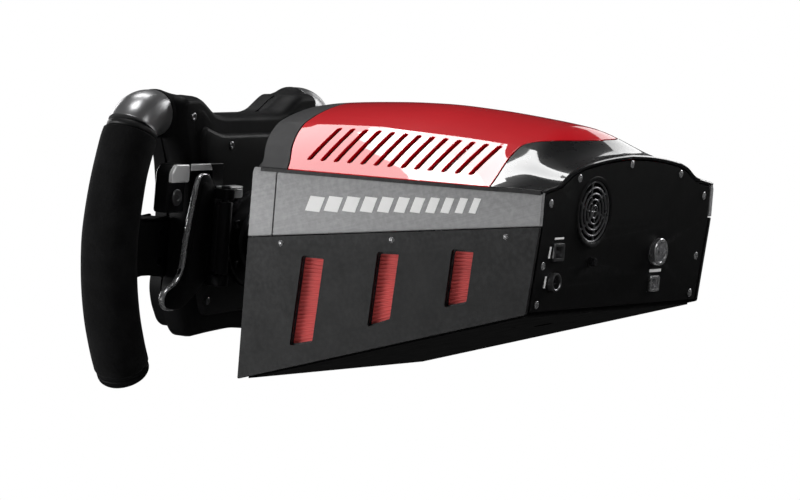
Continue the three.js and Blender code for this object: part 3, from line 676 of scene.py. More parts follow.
def roof_shell(name, front, rear, material, slot, replaces, rows=None):
    """Shell between the edges front(x) and rear(x); without rows it has the slits."""
    half = set(np.round(np.concatenate([
        np.linspace(0, 60, 19), np.linspace(62, 70, 7), np.linspace(72, ROOF_EDGE, 17)]),
        3).tolist())
    if rows is None:
        edges = (SLIT_INNER, SLIT_INNER + SLIT_CORNER,
                 SLIT_OUTER - SLIT_CORNER, SLIT_OUTER)
        half |= set(edges)
        half = {x for x in half if not any(0 < abs(x - edge) < 0.55 for edge in edges)}
    columns = sorted({-x for x in half} | half)
    front_edge = np.array([front(x) for x in columns])
    rear_edge = np.array([rear(x) for x in columns])
    if rows is None:
        cuts = sorted(y for start, end in SLITS
                      for y in (start, start + SLIT_CORNER, end - SLIT_CORNER, end))
        first, last = cuts[0] - 3, cuts[-1] + 3
        lines = [front_edge * (1 - t) + first * t for t in np.linspace(0, 1, 5)[:-1]]
        lines += [np.full(len(columns), y) for y in [first] + cuts + [last]]
        lines += [last * (1 - t) + rear_edge * t for t in np.linspace(0, 1, 7)[1:]]
    else:
        lines = [front_edge * (1 - t) + rear_edge * t for t in np.linspace(0, 1, rows)]
    verts = [(x, y, roof_z(x, y)) for line in lines for x, y in zip(columns, line)]
    count = len(columns)
    faces = []
    for k in range(len(lines) - 1):
        for i in range(count - 1):
            middle_x = (columns[i] + columns[i + 1]) / 2
            middle_y = (lines[k][i] + lines[k + 1][i]) / 2
            if rows is None and in_slit(middle_x, middle_y):
                continue
            corner = k * count + i
            faces.append([corner, corner + 1, corner + count + 1, corner + count])
    obj = mesh_object(name, (verts, faces))
    # the shell thickens inward, so its faces have to look up
    upward = TO_WORLD.to_3x3() @ Vector((0, 0, 1))
    if sum(polygon.normal.dot(upward) for polygon in obj.data.polygons) < 0:
        obj.data.flip_normals()
    thick = obj.modifiers.new("thick", "SOLIDIFY")
    thick.thickness = ROOF_THICK / MM_PER_M
    thick.offset = -1
    thick.use_even_offset = True
    finish(obj, "base", material, slot, replaces, bevel=0.35, angle=50)


roof_shell("roof_front_cap", lambda x: 6 + front_bow(x), lambda x: FRONT_SEAM + front_bow(x),
           "cap", "dark_cap", "front_cap", rows=9)
roof_shell("roof_red_cover", lambda x: FRONT_SEAM + ROOF_GAP + front_bow(x),
           lambda x: REAR_SEAM + rear_bow(x), "red", "red_gloss", "top_cover")
roof_shell("roof_rear_cap", lambda x: REAR_SEAM + ROOF_GAP + rear_bow(x),
           lambda x: DEPTH - 0.5, "black_gloss", "black_gloss", "rear_cap", rows=15)
# rolled lip over the back panel
lip_path = [(x, DEPTH - 1.5, roof_z(x, DEPTH) - 1.0) for x in np.linspace(-117, 117, 79)]
add("roof_rear_lip", tube(lip_path, 1.3, 10), "base", "black_gloss", "black_gloss")

# ------------------------------------------------------------------ base: sides
# Vent openings, corners as (y, z)
VENTS = [
    [(44.6, 5.2), (61.9, 5.7), (57.8, -52.4), (40.2, -56.8)],
    [(103.8, 14.3), (120.5, 15.4), (117.3, -30.4), (100.5, -36.6)],
    [(161.4, 22.6), (178.1, 23.5), (175.6, -11.9), (159, -16.6)],
]
VENT_RADIUS = 2.2
PANEL_INNER = HALF_WIDTH - 2.2
COLLAR_INNER = HALF_WIDTH - 4.2
SIDE_SCREWS = [(27, 11.6), (114.2, 23.6), (202.1, 35.4)]  # (y, z)
# Screw profile: (radius, height over the panel)
SIDE_SCREW = [(0, 0.9), (0.7, 0.9), (0.9, 0.75), (1.6, 0.55), (2.1, 0.15), (2.15, -1.4),
              (0, -1.4)]


def bottom_z(y):
    """Underside of the base, level in the world."""
    return -85.5 + math.tan(TILT) * y


def seam_z(y):
    """Seam between the side panel and the trim above it."""
    return 13 + 32 * y / 227


def side_panel(tag, side):
    outline = [(0.2, bottom_z(0.2) + 1), (221.6, bottom_z(221.8) + 1.2),
               (227.1, seam_z(227.3) - 0.3), (0.2, seam_z(0) - 0.3)]
    panel = plate("side_panel_shell_" + tag, rounded(outline, 1.2, 3),
                  [rounded(vent, VENT_RADIUS) for vent in VENTS],
                  *span(side, PANEL_INNER, HALF_WIDTH), axis="x")
    finish(panel, "base", "panel", "graphite_panel", "side_panel_" + tag, bevel=0.5,
           angle=40)


def vent_collars(tag, side):
    """Pressed collar behind the panel round each vent."""
    for k, vent in enumerate(VENTS):
        outer = rounded(vent, VENT_RADIUS)
        inner = rounded(shrink(vent, 1.2), 1.6)
        rings = ((outer, PANEL_INNER), (outer, COLLAR_INNER),
                 (inner, COLLAR_INNER), (inner, PANEL_INNER))
        verts = [(side * x, *p) for ring, x in rings for p in ring]
        add(f"vent_collar_{tag}_{k + 1}", (verts, skin(4, len(outer), looped=True)),
            "base", "panel", "graphite_panel")


def vent_inserts(tag, side):
    """Red sheet behind the vents, with a row of ribs in each."""
    sheet = [(34, -62), (186, -17.5), (186, 33), (34, 13)]
    add("vent_backing_sheet_" + tag,
        prism(sheet, *span(side, HALF_WIDTH - 6.9, HALF_WIDTH - 5.2), axis="x"),
        "base", "vent", "vent_red", "vent_backing_" + tag)
    rib_x = side * (HALF_WIDTH - 5.1)
    for k, vent in enumerate(VENTS):
        top_front, top_rear, low_rear, low_front = [Vector(p) for p in vent]
        count = int((top_front - low_front).length / 2.6)
        ribs = []
        for i in range(count):
            t = (i + 0.5) / count
            front = low_front.lerp(top_front, t)
            rear = low_rear.lerp(top_rear, t)
            ribs.append(tube([(rib_x, front.x - 2, front.y), (rib_x, rear.x + 2, rear.y)],
                             0.75, 6))
        add(f"vent_ribs_{tag}_{k + 1}", join(ribs), "base", "vent", "vent_red")


def cover_gasket(tag, side):
    """Dark strip under the edge of the roof."""
    stations = list(np.linspace(6.2, 225.5, 45))
    inner, outer = HALF_WIDTH - 2.0, HALF_WIDTH + 0.02
    corners = ((inner, -0.5), (outer, -0.5), (outer, -2.9), (inner, -2.9))
    verts = [(side * x, y, roof_z(ROOF_EDGE, y) + drop)
             for x, drop in corners for y in stations]
    count = len(stations)
    faces = []
    for k in range(4):
        near, far = k * count, (k + 1) % 4 * count
        faces += [[near + i, near + i + 1, far + i + 1, far + i] for i in range(count - 1)]
    faces += [[0, count, 2 * count, 3 * count],
              [count - 1, 4 * count - 1, 3 * count - 1, 2 * count - 1]]
    add("cover_gasket_" + tag, (verts, faces), "base", "black", "black_plastic")


def side_trim(name, side, start, end, replaces=None):
    """Grey trim above the seam, chamfered along its top edge."""
    inner, face = HALF_WIDTH - 3.6, HALF_WIDTH + 0.2
    verts = []
    for y in (start, end):
        low = seam_z(y) + 0.3
        high = 60.9 + 7 * y / DEPTH
        profile = [(inner, low), (HALF_WIDTH - 0.2, low), (face, low + 0.6),
                   (face, high - 3.4), (HALF_WIDTH - 1.4, high - 0.3), (inner, high - 0.1)]
        verts += [(side * x, y, z) for x, z in profile]
    add(name, (verts, skin(2, 6)), "base", "trim", "grey_trim", replaces, bevel=0.3)


def hash_stripes(tag, side):
    """Slanted stripes that get narrower towards the rear."""
    bars = []
    half_height, lean = 5.2, 1.8
    y, k = 46.0, 0
    while y < 174:
        width = 11.5 - 0.62 * k
        z = 40.5 + 13.5 * (y - 40) / 140
        low, high = z - half_height, z + half_height
        bars.append(prism([(y - lean, low), (y - lean + width, low),
                           (y + lean + width, high), (y + lean, high)],
                          *span(side, HALF_WIDTH + 0.1, HALF_WIDTH + 0.42), axis="x"))
        y += width + 3.4 + 0.15 * k
        k += 1
    add("hash_stripes_" + tag, join(bars), "base", "white", "grey_trim", bevel=0.1)


def side_screws(tag, side):
    profile = [(radius, side * (HALF_WIDTH + height)) for radius, height in SIDE_SCREW]
    for k, centre in enumerate(SIDE_SCREWS):
        add(f"side_screw_{tag}_{k + 1}", lathe(profile, 28, centre, axis="x"), "base",
            "chrome", "chrome")


for tag, side in SIDES:
    side_panel(tag, side)
    vent_collars(tag, side)
    vent_inserts(tag, side)
    cover_gasket(tag, side)
    side_trim("side_trim_front_" + tag, side, 0.2, 19.0)
    side_trim("side_trim_plate_" + tag, side, 19.9, 227.1, "side_trim_" + tag)
    hash_stripes(tag, side)
    side_screws(tag, side)

# ------------------------------------------------------------------ base: front
END_HALF = 114.2  # half width of the front and back plates
bezel_top = [(x, roof_z(x, 3) - 3.4) for x in np.linspace(112, -112, 57)]
bezel = plate(
    "front_bezel_plate",
    [(-END_HALF, bottom_z(0) + 3.6), (END_HALF, bottom_z(0) + 3.6), (END_HALF, 59.5)]
    + bezel_top + [(-END_HALF, 59.5)],
    [circle((0, 0), 30.2, 48)], 0.2, 5.4)
finish(bezel, "base", "black", "black_plastic", "front_bezel", bevel=0.8, angle=40)

frame_outer = [(-96, -66), (96, -66), (100, 20), (78, 74), (-78, 74), (-100, 20)]
frame_inner = [(-91, -61), (91, -61), (95, 18), (75, 69), (-75, 69), (-95, 18)]
raised = plate("front_raised_frame", rounded(frame_outer, 12, 6),
               [rounded(frame_inner, 10, 6)], -1.4, 0.6)
finish(raised, "base", "cap", "dark_cap", bevel=0.6)

NOSE_CONE = [(17, -19), (17, 5), (29.4, 5), (29.4, -0.4), (37, -0.4), (37.4, -1.5),
             (37, -4), (33, -11), (31.6, -16), (31, -18.2), (30, -19), (17, -19)]
add("nose_cone_shell", lathe(NOSE_CONE, 72), "base", "black", "black_plastic",
    "nose_cone", angle=30)
add("nose_cone_ring", hoop(33.6, -10.2, 0.7, 72), "base", "chrome", "chrome")

# ------------------------------------------------------------------ base: back
BACK_SKIN = 226.9  # y of the upright upper field
BEND_Z = 45.0      # below this the panel leans in
LEAN = 5.4         # how far it has moved in at the foot
FOOT_Y = 221.6
# Positions (x, z), and socket rectangles (left, right, low, high)
FAN = (47, 53)
POWER = (-47, 23)
SHIFTER = (90, 7)
MODE = (43, 19)
USB = (-57, -44, -5, 6)
PEDAL = (83, 97, 21, 33)
SOCKET_GAP = 0.2
SOCKET_BOTTOM = 208.2
BACK_SCREWS = [(-106, 60), (106, 60), (-106, 18), (106, 18), (-106, -8), (106, -8),
               (0, 84), (-70, 76), (70, 76)]
# Screw profile: (radius, height over the panel)
BACK_SCREW = [(0, 0.9), (0.6, 0.9), (0.9, 0.7), (2.0, 0.7), (2.7, 0.3), (2.8, -0.8),
              (0, -0.8)]


def lean_at(z):
    """How far the back panel has moved in at this height."""
    if z > BEND_Z:
        return 0.0
    return LEAN * (BEND_Z - z) / (BEND_Z - bottom_z(FOOT_Y) - 2.4)


def socket_hole(left, right, low, high, radius):
    return rounded(rect(left - SOCKET_GAP, right + SOCKET_GAP,
                        low - SOCKET_GAP, high + SOCKET_GAP), radius, 3)


def back_panel():
    foot = bottom_z(FOOT_Y) + 2.8
    top = [(x, roof_z(x, 224) - 3.6) for x in np.linspace(113, -113, 65)]
    outline = ([(-END_HALF, foot), (END_HALF, foot), (END_HALF, 45.2), (END_HALF, 64.0)]
               + top + [(-END_HALF, 64.0), (-END_HALF, 45.2)])
    holes = [circle(FAN, 21.3, 56), circle(POWER, 9.8, 40), socket_hole(*USB, 1),
             socket_hole(*PEDAL, 1.2), circle(SHIFTER, 6.8, 32), circle(MODE, 3.3, 24)]
    panel = plate("back_panel_plate", outline, holes, 223.2, BACK_SKIN)
    # cut the faces at the bend, then shear what lies below it
    work = bmesh.new()
    work.from_mesh(panel.data)
    bmesh.ops.bisect_plane(work, geom=work.verts[:] + work.edges[:] + work.faces[:],
                           plane_co=TO_WORLD @ Vector((0, 0, BEND_Z)),
                           plane_no=TO_WORLD.to_3x3() @ Vector((0, 0, 1)))
    work.to_mesh(panel.data)
    work.free()
    to_steering = TO_WORLD.inverted()
    for vert in panel.data.vertices:
        point = to_steering @ vert.co
        point.y -= lean_at(point.z)
        vert.co = TO_WORLD @ point
    # the back panel takes the darker copy of the black plastic, painted shade
    finish(panel, "base", "back", "black_plastic", "back_panel", bevel=0.5, angle=25)


def back_screws():
    for k, (x, z) in enumerate(BACK_SCREWS):
        skin_y = BACK_SKIN - lean_at(z)
        profile = [(radius, skin_y + height) for radius, height in BACK_SCREW]
        add(f"back_screw_{k + 1}", lathe(profile, 26, (x, z)), "base", "chrome", "chrome")


def fan_guard():
    """Slightly domed wire rings on six curved spokes."""
    wires = [hoop(radius, y, 0.8, 56, FAN) for radius, y in (
        (20.2, 226.0), (16.2, 226.4), (12.2, 226.6), (8.2, 226.6), (4.2, 226.6))]
    for i in range(6):
        spoke = []
        for radius in np.linspace(0.2, 20.8, 9):
            angle = i * math.pi / 3 + radius * 0.02
            spoke.append((FAN[0] + radius * math.cos(angle),
                          225.6 + 0.3 * (1 - radius / 21),
                          FAN[1] + radius * math.sin(angle)))
        wires.append(tube(spoke, 0.8, 8))
    add("fan_guard_wires", join(wires), "base", "blacksteel", "steel", "fan_guard")
    bezel = [(20.9, 224.4), (20.9, 227.4), (21.6, 227.8), (23.4, 227.8), (24, 227.0),
             (21.2, 226.8), (20.9, 224.4)]
    # the fan bezel takes the same darker copy of the black plastic, painted shade
    add("fan_bezel_ring", lathe(bezel, 72, FAN), "base", "back", "dark_cap")


def fan_blade(index, blades):
    """Swept blade: rows of six vertices, two faces by three stations across."""
    rows, root, tip = 8, 7.9, 20.6
    verts, faces = [], []
    for k in range(rows):
        radius = root + (tip - root) * k / (rows - 1)
        for y, twist in ((207.4, -0.30), (210.9, -0.02), (214.6, 0.30)):
            for thickness in (0, 0.05):
                angle = (2 * math.pi * index / blades + 0.02 * (radius - 8)
                         + twist + thickness)
                verts.append((FAN[0] + radius * math.cos(angle), y,
                              FAN[1] + radius * math.sin(angle)))
    for k in range(rows - 1):
        near, far = k * 6, (k + 1) * 6
        for i, j in ((0, 2), (2, 4)):
            faces.append([near + i, near + j, far + j, far + i])
            faces.append([near + i + 1, far + i + 1, far + j + 1, near + j + 1])
        faces.append([near, far, far + 1, near + 1])
        faces.append([near + 4, near + 5, far + 5, far + 4])
    for end in (0, (rows - 1) * 6):
        faces.append([end, end + 2, end + 3, end + 1])
        faces.append([end + 2, end + 4, end + 5, end + 3])
    return verts, faces


def fan_rotor():
    hub = [(0, 206.5), (7.6, 206.5), (8.4, 207.3), (8.4, 214.6), (7.6, 215.4), (0, 215.4)]
    blades = [fan_blade(i, 7) for i in range(7)]
    add("fan_rotor_blades", join([lathe(hub, 40, FAN)] + blades), "fan", "black",
        "black_plastic", "fan_rotor", angle=40)


def box_socket(name, bounds, mouth, material, slot, replaces):
    """Rectangular socket with a tongue in the middle; mouth is the y of its rim."""
    left, right, low, high = bounds
    wall = 2.2
    outer = rounded(rect(*bounds), 1.6, 3)
    inner = rounded(rect(left + wall, right - wall, low + wall, high - wall), 1.0, 3)
    shell = loft([(outer, SOCKET_BOTTOM), (outer, mouth - 0.4), (shrink(outer, 0.4), mouth),
                  (shrink(inner, -0.4), mouth), (inner, mouth - 0.5), (inner, 214.4)])
    x, z = (left + right) / 2, (low + high) / 2
    reach = (right - left) * 0.22
    tongue = prism(rect(x - reach, x + reach, z - 0.9, z + 0.9), 214, mouth - 1.6)
    add(name, join([shell, tongue]), "base", material, slot, replaces, angle=40)


def sockets():
    power = [(0, SOCKET_BOTTOM), (8.6, SOCKET_BOTTOM), (9.3, 209), (9.3, 229.0),
             (8.9, 229.4), (7.2, 229.4), (6.7, 228.8), (6.6, 220), (1.7, 220),
             (1.6, 225.4), (1.2, 226), (0, 226)]
    add("power_socket_body", lathe(power, 56, POWER), "base", "chrome", "chrome",
        "power_socket")
    box_socket("usb_socket_shell", USB, 224.6, "chrome", "steel", "usb_socket")
    box_socket("pedal_socket_shell", PEDAL, 227.4, "steel", "black_plastic",
               "pedal_socket")
    shifter = [(0, 208), (6.3, 208), (6.3, 226.6), (5.9, 227.2), (5.2, 227.2),
               (4.7, 226.7), (4.6, 217.8), (0, 217.8)]
    add("shifter_socket_shell", lathe(shifter, 44, SHIFTER), "base", "steel",
        "black_plastic", "shifter_socket")
    pin = [(0, 217), (0.55, 217), (0.55, 224), (0.3, 224.5), (0, 224.5)]
    add("shifter_socket_pins", lathes(pin, 12, circle(SHIFTER, 2.7, 5)), "base", "steel",
        "steel")
    button = [(0, 219.2), (2.95, 219.2), (2.95, 227.6), (2.5, 229.0), (1.5, 229.4),
              (0, 229.2)]
    add("mode_button_cap", lathe(button, 40, MODE), "mode_button", "gloss_button",
        "black_gloss", "mode_button")


def label_bars():
    """Plain white bars beside the sockets, lying on the leaning panel."""
    bars = []
    for bounds in ((-58.5, -42.5, 8.6, 10.6), (98.6, 100.8, 23, 31), (98.6, 100.8, 3, 11),
                   (84, 96, 35.6, 37.0), (35.5, 38.5, 18, 20)):
        verts = [(x, BACK_SKIN - lean_at(z) + height, z)
                 for height in (0.02, 0.22) for x, z in rect(*bounds)]
        bars.append((verts, skin(2, 4)))
    add("socket_label_bars", join(bars), "base", "white", "black_plastic")


back_panel()
back_screws()
fan_guard()
fan_rotor()
sockets()
label_bars()

# ------------------------------------------------------------------ wheel: rim
# Centre lines on the right, (x, z) from the low end up
GRIP = [(99, -96), (103.5, -89.5), (111.5, -75), (120.5, -54), (127, -30), (130.2, -4),
        (129.2, 16), (124.8, 43), (118.4, 64), (114.6, 72.4)]
CORNER = [(112.6, 76.4), (110, 80), (105, 83.8), (98, 86.2), (89, 86.6)]
RIM_Y = -105
RIM_HALF = 17.5     # half width of the rim section
SUEDE_DEPTH = 19.5  # half depth of the suede part
SUEDE_START = 0.118  # share of GRIP taken by the end plug
# End plug: (share of the path, scale, shift along the path)
END_PLUG = [(0.0, 0.26, -0.7), (0.0, 0.50, -0.4), (0.0, 0.68, 0.3), (0.012, 0.83, 0),
            (0.03, 0.94, 0), (0.05, 0.985, 0), (0.07, 1.0, 0), (0.088, 1.0, 0),
            (0.092, 0.965, 0), (0.100, 0.965, 0), (0.104, 1.0, 0), (0.112, 1.0, 0),
            (0.1165, 0.985, 0), (0.1175, 0.94, 0)]
# Hub shoulder sections: (x, z, y, half height, half depth, squareness)
SHOULDER_SECTIONS = [
    (89.2, 86.6, -105.0, 15.6, 16.9, 1.0), (89.0, 86.6, -105.0, 16.6, 17.6, 1.0),
    (88.0, 86.5, -104.8, 16.8, 17.7, 1.0), (86.6, 86.4, -104.6, 16.9, 17.8, 0.98),
    (84.0, 86.0, -103.6, 16.3, 17.9, 0.88), (79.0, 85.2, -101.3, 15.6, 18.2, 0.74),
    (73.0, 84.2, -99.0, 15.6, 18.4, 0.6), (66.0, 82.0, -97.5, 15.8, 17.6, 0.5),
    (59.0, 79.5, -97.0, 13.6, 17.2, 0.45), (52.0, 77.0, -97.0, 10.0, 16.8, 0.42),
    (46.0, 75.0, -97.0, 8.0, 16.4, 0.42)]


def sweep_ring(side, centre, direction, y, half_width, half_depth, squareness, segments):
    """Squared oval across a path in the (x, z) plane."""
    outward = Vector((direction.y, -direction.x))
    ring = []
    for i in range(segments):
        angle = 2 * math.pi * i / segments
        width = half_width * square_off(math.cos(angle), squareness)
        depth = half_depth * square_off(math.sin(angle), squareness)
        ring.append((side * (centre.x + outward.x * width), y + depth,
                     centre.y + outward.y * width))
    return ring


def rim_tube(path, side, stations, segments, half_depth, squareness):
    """Length of rim; stations list (share of the path, scale, shift along the path)."""
    verts = []
    for t, scale, shift in stations:
        point, direction = path_at(path, t)
        verts += sweep_ring(side, point + direction * shift, direction, RIM_Y,
                            RIM_HALF * scale, half_depth * scale, squareness, segments)
    return verts, skin(len(stations), segments)


def palm(t):
    """Scale of the grip: a gentle swell, with a thumb hollow above the spoke."""
    hollow = 0.016 * math.exp(-((t - 0.80) / 0.07) ** 2)
    return 0.985 * (1.0 + 0.018 * math.sin(math.pi * t) - hollow)


def suede_grip(tag, side):
    start = SUEDE_START
    stations = [(start + 0.0005, 0.90, 0), (start + 0.001, 0.955, 0),
                (start + 0.006, 0.975, 0), (start + 0.014, palm(0.13), 0)]
    stations += [(t, palm(t), 0) for t in np.linspace(start + 0.022, 0.985, 120)]
    stations += [(0.992, palm(0.99) * 0.985, 0), (0.998, 0.955, 0), (0.9995, 0.92, 0)]
    add("grip_suede_" + tag, rim_tube(GRIP, side, stations, 72, SUEDE_DEPTH, 0.9),
        "wheel", "suede", "suede", "grip_" + tag, angle=60)


def grip_stitching(tag, side):
    """Seam cord and stitches along the inner side, below and above the spoke."""
    seams, stitches = [], []
    spread = 0.16  # angle round the section from the seam to a stitch's outer end
    for start, end in ((SUEDE_START + 0.03, 0.42), (0.70, 0.975)):
        seam = []
        for i, t in enumerate(np.linspace(start, end, int((end - start) * 130))):
            point, direction = path_at(GRIP, t)
            outward = Vector((direction.y, -direction.x))
            half = RIM_HALF * palm(t)
            on_seam = point - outward * (half + 0.1)
            seam.append((side * on_seam.x, RIM_Y, on_seam.y))
            if i % 2:
                continue
            near = point - outward * (half + 0.40)
            far = point + direction * 1.0 - outward * (half * math.cos(spread) + 0.30)
            rise = SUEDE_DEPTH * palm(t) * math.sin(spread)
            for turn in (1, -1):
                stitches.append(tube([(side * near.x, RIM_Y, near.y),
                                      (side * far.x, RIM_Y + turn * rise, far.y)], 0.42, 6))
        seams.append(tube(seam, 0.55, 8))
    add("grip_seam_" + tag, join(seams), "wheel", "thread", "suede")
    add("grip_stitches_" + tag, join(stitches), "wheel", "thread", "suede")


def rim_corner(tag, side):
    """Satin shell from the suede to the hub shoulder."""
    stations = [(0.0, 0.93, 0), (0.002, 0.975, 0), (0.02, 0.99, 0), (0.04, 0.985, 0),
                (0.05, 0.965, 0), (0.07, 0.965, 0), (0.08, 0.985, 0)]
    stations += [(t, 0.985 - 0.055 * t, 0) for t in np.linspace(0.10, 0.985, 52)]
    stations += [(0.995, 0.915, 0), (1.0, 0.89, 0)]
    add("rim_corner_shell_" + tag, rim_tube(CORNER, side, stations, 64, 18.2, 0.96),
        "wheel", "gripcap", "grip_cap", "rim_corner_" + tag, angle=32)


def grip_collar(tag, side):
    """Thin black collar between the suede and the corner."""
    start, end = Vector(GRIP[-1]), Vector(CORNER[0])
    direction = (end - start).normalized()
    segments = 60
    rows = [(start, -0.4, 0.90), (start, 0.3, 0.955), (start, 1.0, 0.975),
            (end, -1.0, 0.975), (end, -0.3, 0.955), (end, 0.4, 0.90)]
    verts = []
    for point, shift, scale in rows:
        verts += sweep_ring(side, point + direction * shift, direction, RIM_Y,
                            RIM_HALF * scale, 18.8 * scale, 1.0, segments)
    add("grip_collar_" + tag, (verts, skin(len(rows), segments)), "wheel", "black",
        "black_plastic", angle=40)


def hub_shoulder(tag, side):
    """Sleeve that takes the end of the rim corner and flows into the hub."""
    segments = 64
    sections = SHOULDER_SECTIONS[:4]
    for x in np.linspace(86.2, 46.0, 30):
        # keys are negated because the lookup needs them rising
        sections.append((x, *[
            smooth_lookup([(-row[0], row[k]) for row in SHOULDER_SECTIONS[3:]], -x)
            for k in range(1, 6)]))
    verts = []
    for x, z, y, half_height, half_depth, squareness in sections:
        for i in range(segments):
            angle = 2 * math.pi * i / segments
            verts.append((side * x,
                          y + half_depth * square_off(math.cos(angle), squareness),
                          z + half_height * square_off(math.sin(angle), squareness)))
    add("hub_shoulder_" + tag, (verts, skin(len(sections), segments)), "wheel", "shell",
        "black_plastic", angle=40)
    screw = [(0, -80.2), (1.1, -80.2), (1.5, -79.9), (2.5, -79.9), (3.0, -80.3),
             (3.1, -82.5), (0, -82.5)]
    add("shoulder_screw_" + tag, lathe(screw, 28, (side * 74, 86)), "wheel", "steel",
        "steel", angle=40)


for tag, side in SIDES:
    suede_grip(tag, side)
    grip_stitching(tag, side)
    add("grip_end_plug_" + tag, rim_tube(GRIP, side, END_PLUG, 64, 19.0, 1.0), "wheel",
        "shell", "black_plastic", angle=32)
    rim_corner(tag, side)
    grip_collar(tag, side)
    hub_shoulder(tag, side)

# ------------------------------------------------------------------ wheel: hub casing
# Right halves of the outlines, (x, z) from the top middle to the bottom middle
REAR_HALF = [(0, 87), (36, 87), (45, 89), (59, 97.5), (66, 100), (83, 100), (87, 96),
             (86.5, 78), (82, 69), (76, 54), (72, 38), (70, 24), (70, -26), (74, -36),
             (72, -46), (62, -64), (54, -69.5), (28, -67), (0, -65)]
FRONT_HALF = [(0, 85), (35, 85), (44, 87), (58, 95), (64, 97.5), (80, 97.5), (84, 94),
              (83, 79), (77, 68), (70, 54), (66, 38), (63, 24), (62, -20), (64, -36),
              (60, -48), (51, -61), (43, -65), (22, -64), (0, -62)]
FIELD_HALF = [(0, 74), (40, 74), (52, 77), (62, 80), (66, 74), (62, 60), (57, 40),
              (55, 26), (55, -22), (57, -34), (50, -50), (44, -54), (0, -52)]
FACE_HALF = [(0, 81), (33, 81), (41, 82.5), (55, 89.5), (61, 91.5), (70, 91.5), (73, 88),
             (71, 76), (68, 66), (64, 52), (61, 38), (58, 24), (57, -18), (58.5, -34),
             (55, -45), (47, -56.5), (41, -60), (22, -59), (0, -57.5)]
# Controls, (x, z)
BUTTONS = [(side * x, z) for _, side in SIDES for x, z in ((42, 34), (48, 8), (46, -18))]
KNOBS = {tag: (side * 26, -44) for tag, side in SIDES}
PAD = (0, 34)


def control_holes(button_segments, pad_radius, pad_segments):
    return ([circle(centre, 7, button_segments) for centre in BUTTONS]
            + [circle(centre, 4, 24) for centre in KNOBS.values()]
            + [circle(PAD, pad_radius, pad_segments)])


def hub_rear():
    """Domed casing with a raised inner field and four screws."""
    casing = [(0.9, -97.4), (0.2, -97.0), (0.0, -96.4), (0.0, -88), (0.35, -85.5),
              (1.1, -83.4), (2.2, -81.8), (3.6, -80.8), (5.0, -80.4)]  # (inset, y)
    add("hub_rear_casing", loft([(hub_ring(REAR_HALF, inset, 9), y) for inset, y in casing]),
        "wheel", "shell", "black_plastic", "hub_rear_shell", angle=38)
    field = [(0, -80.6), (0.3, -78.6), (1.0, -77.4), (2.2, -76.6), (3.4, -76.3)]
    add("hub_rear_field", loft([(hub_ring(FIELD_HALF, inset, 6), y) for inset, y in field]),
        "wheel", "hubfield", "black_plastic", angle=38)
    screw = [(0, -75.7), (1.0, -75.7), (1.3, -75.5), (2.3, -75.5), (2.7, -75.8),
             (2.8, -77), (0, -77)]
    add("hub_rear_screws", lathes(screw, 28, in_pairs([(30, 66), (46, -43)])), "wheel",
        "steel", "steel", angle=40)


def hub_front():
    """Front casing, its side wall and the brushed face plate."""
    outline = hub_ring(FRONT_HALF, 0, 6)
    casing = plate("hub_front_casing", outline, control_holes(36, 9.5, 36), -114, -111.2)
    finish(casing, "wheel", "shell", "black_plastic", "hub_front_shell", bevel=0.9,
           segments=3)
    wall = plate("hub_front_wall", outline, [hub_ring(FRONT_HALF, 3, 6)], -111.2, -104.5)
    finish(wall, "wheel", "shell", "black_plastic", bevel=0.4)
    face = plate("hub_face_plate", hub_ring(FACE_HALF, 0, 5), control_holes(44, 11, 48),
                 -117, -114.3)
    finish(face, "wheel", "face", "graphite_panel", "face_plate", bevel=0.55, segments=3)


def lamp_bar():
    """Raised bezel near the top of the face plate with five dark lenses."""
    outline = rounded([(-34, 62), (34, 62), (37, 74), (-37, 74)], 3, 5)
    steps = [(0, -117.05), (0, -118.2), (0.5, -118.7), (1.6, -118.7), (1.9, -118.3)]
    add("lamp_bar_bezel", stack(outline, steps), "wheel", "gloss_button", "black_gloss")
    lens = [(0, -118.2), (3.1, -118.2), (3.2, -118.7), (2.6, -119.3), (1.4, -119.6),
            (0, -119.7)]
    add("lamp_lenses", lathes(lens, 32, [(x, 68) for x in range(-24, 25, 12)]), "wheel",
        "lens", "black_gloss", angle=50)


def face_details():
    """Button collars, face screws and the scales round the knobs."""
    collar = [(6.9, -117.1), (6.9, -118.3), (7.2, -118.7), (8.2, -118.6), (8.7, -118.0),
              (8.8, -117.1), (6.9, -117.1)]
    add("button_collars", lathes(collar, 48, BUTTONS), "wheel", "dark_alu",
        "dark_aluminium", angle=40)
    screw = [(0, -117.5), (1.1, -117.5), (1.4, -117.9), (2.0, -117.9), (2.4, -117.6),
             (2.5, -117.02), (0, -117.02)]
    centres = (in_pairs([(62, 84), (58, 44), (38, -52.5)]) + [(0, -50)]
               + in_pairs([(53, -34)]))
    add("face_plate_screws", lathes(screw, 28, centres), "wheel", "steel", "steel",
        angle=40)
    ticks = []
    for x, z in KNOBS.values():
        for i in range(11):
            angle = math.radians(-30 + 24 * i)
            ticks.append(tube([(x + radius * math.cos(angle), -117.1,
                                z + radius * math.sin(angle)) for radius in (11.2, 13.0)],
                              0.28, 6))
    add("knob_scale_ticks", join(ticks), "wheel", "white", "graphite_panel")


def buttons():
    cap = [(0, -111.3), (6.3, -111.3), (6.35, -118.6), (6.1, -119.8), (5.5, -120.4),
           (4.6, -120.5), (3.4, -120.2), (1.8, -119.9), (0, -119.8)]
    for number, centre in enumerate(BUTTONS, 1):
        material = "btn_red" if number in (1, 4) else "gloss_button"
        add(f"button_cap_{number}", lathe(cap, 56, centre), f"button_{number}", material,
            "black_gloss", f"button_{number}", angle=50)


def knob_flute(radius, y, angle):
    return 0.55 * max(0.0, math.cos(20 * angle)) if radius > 9.4 else 0.0


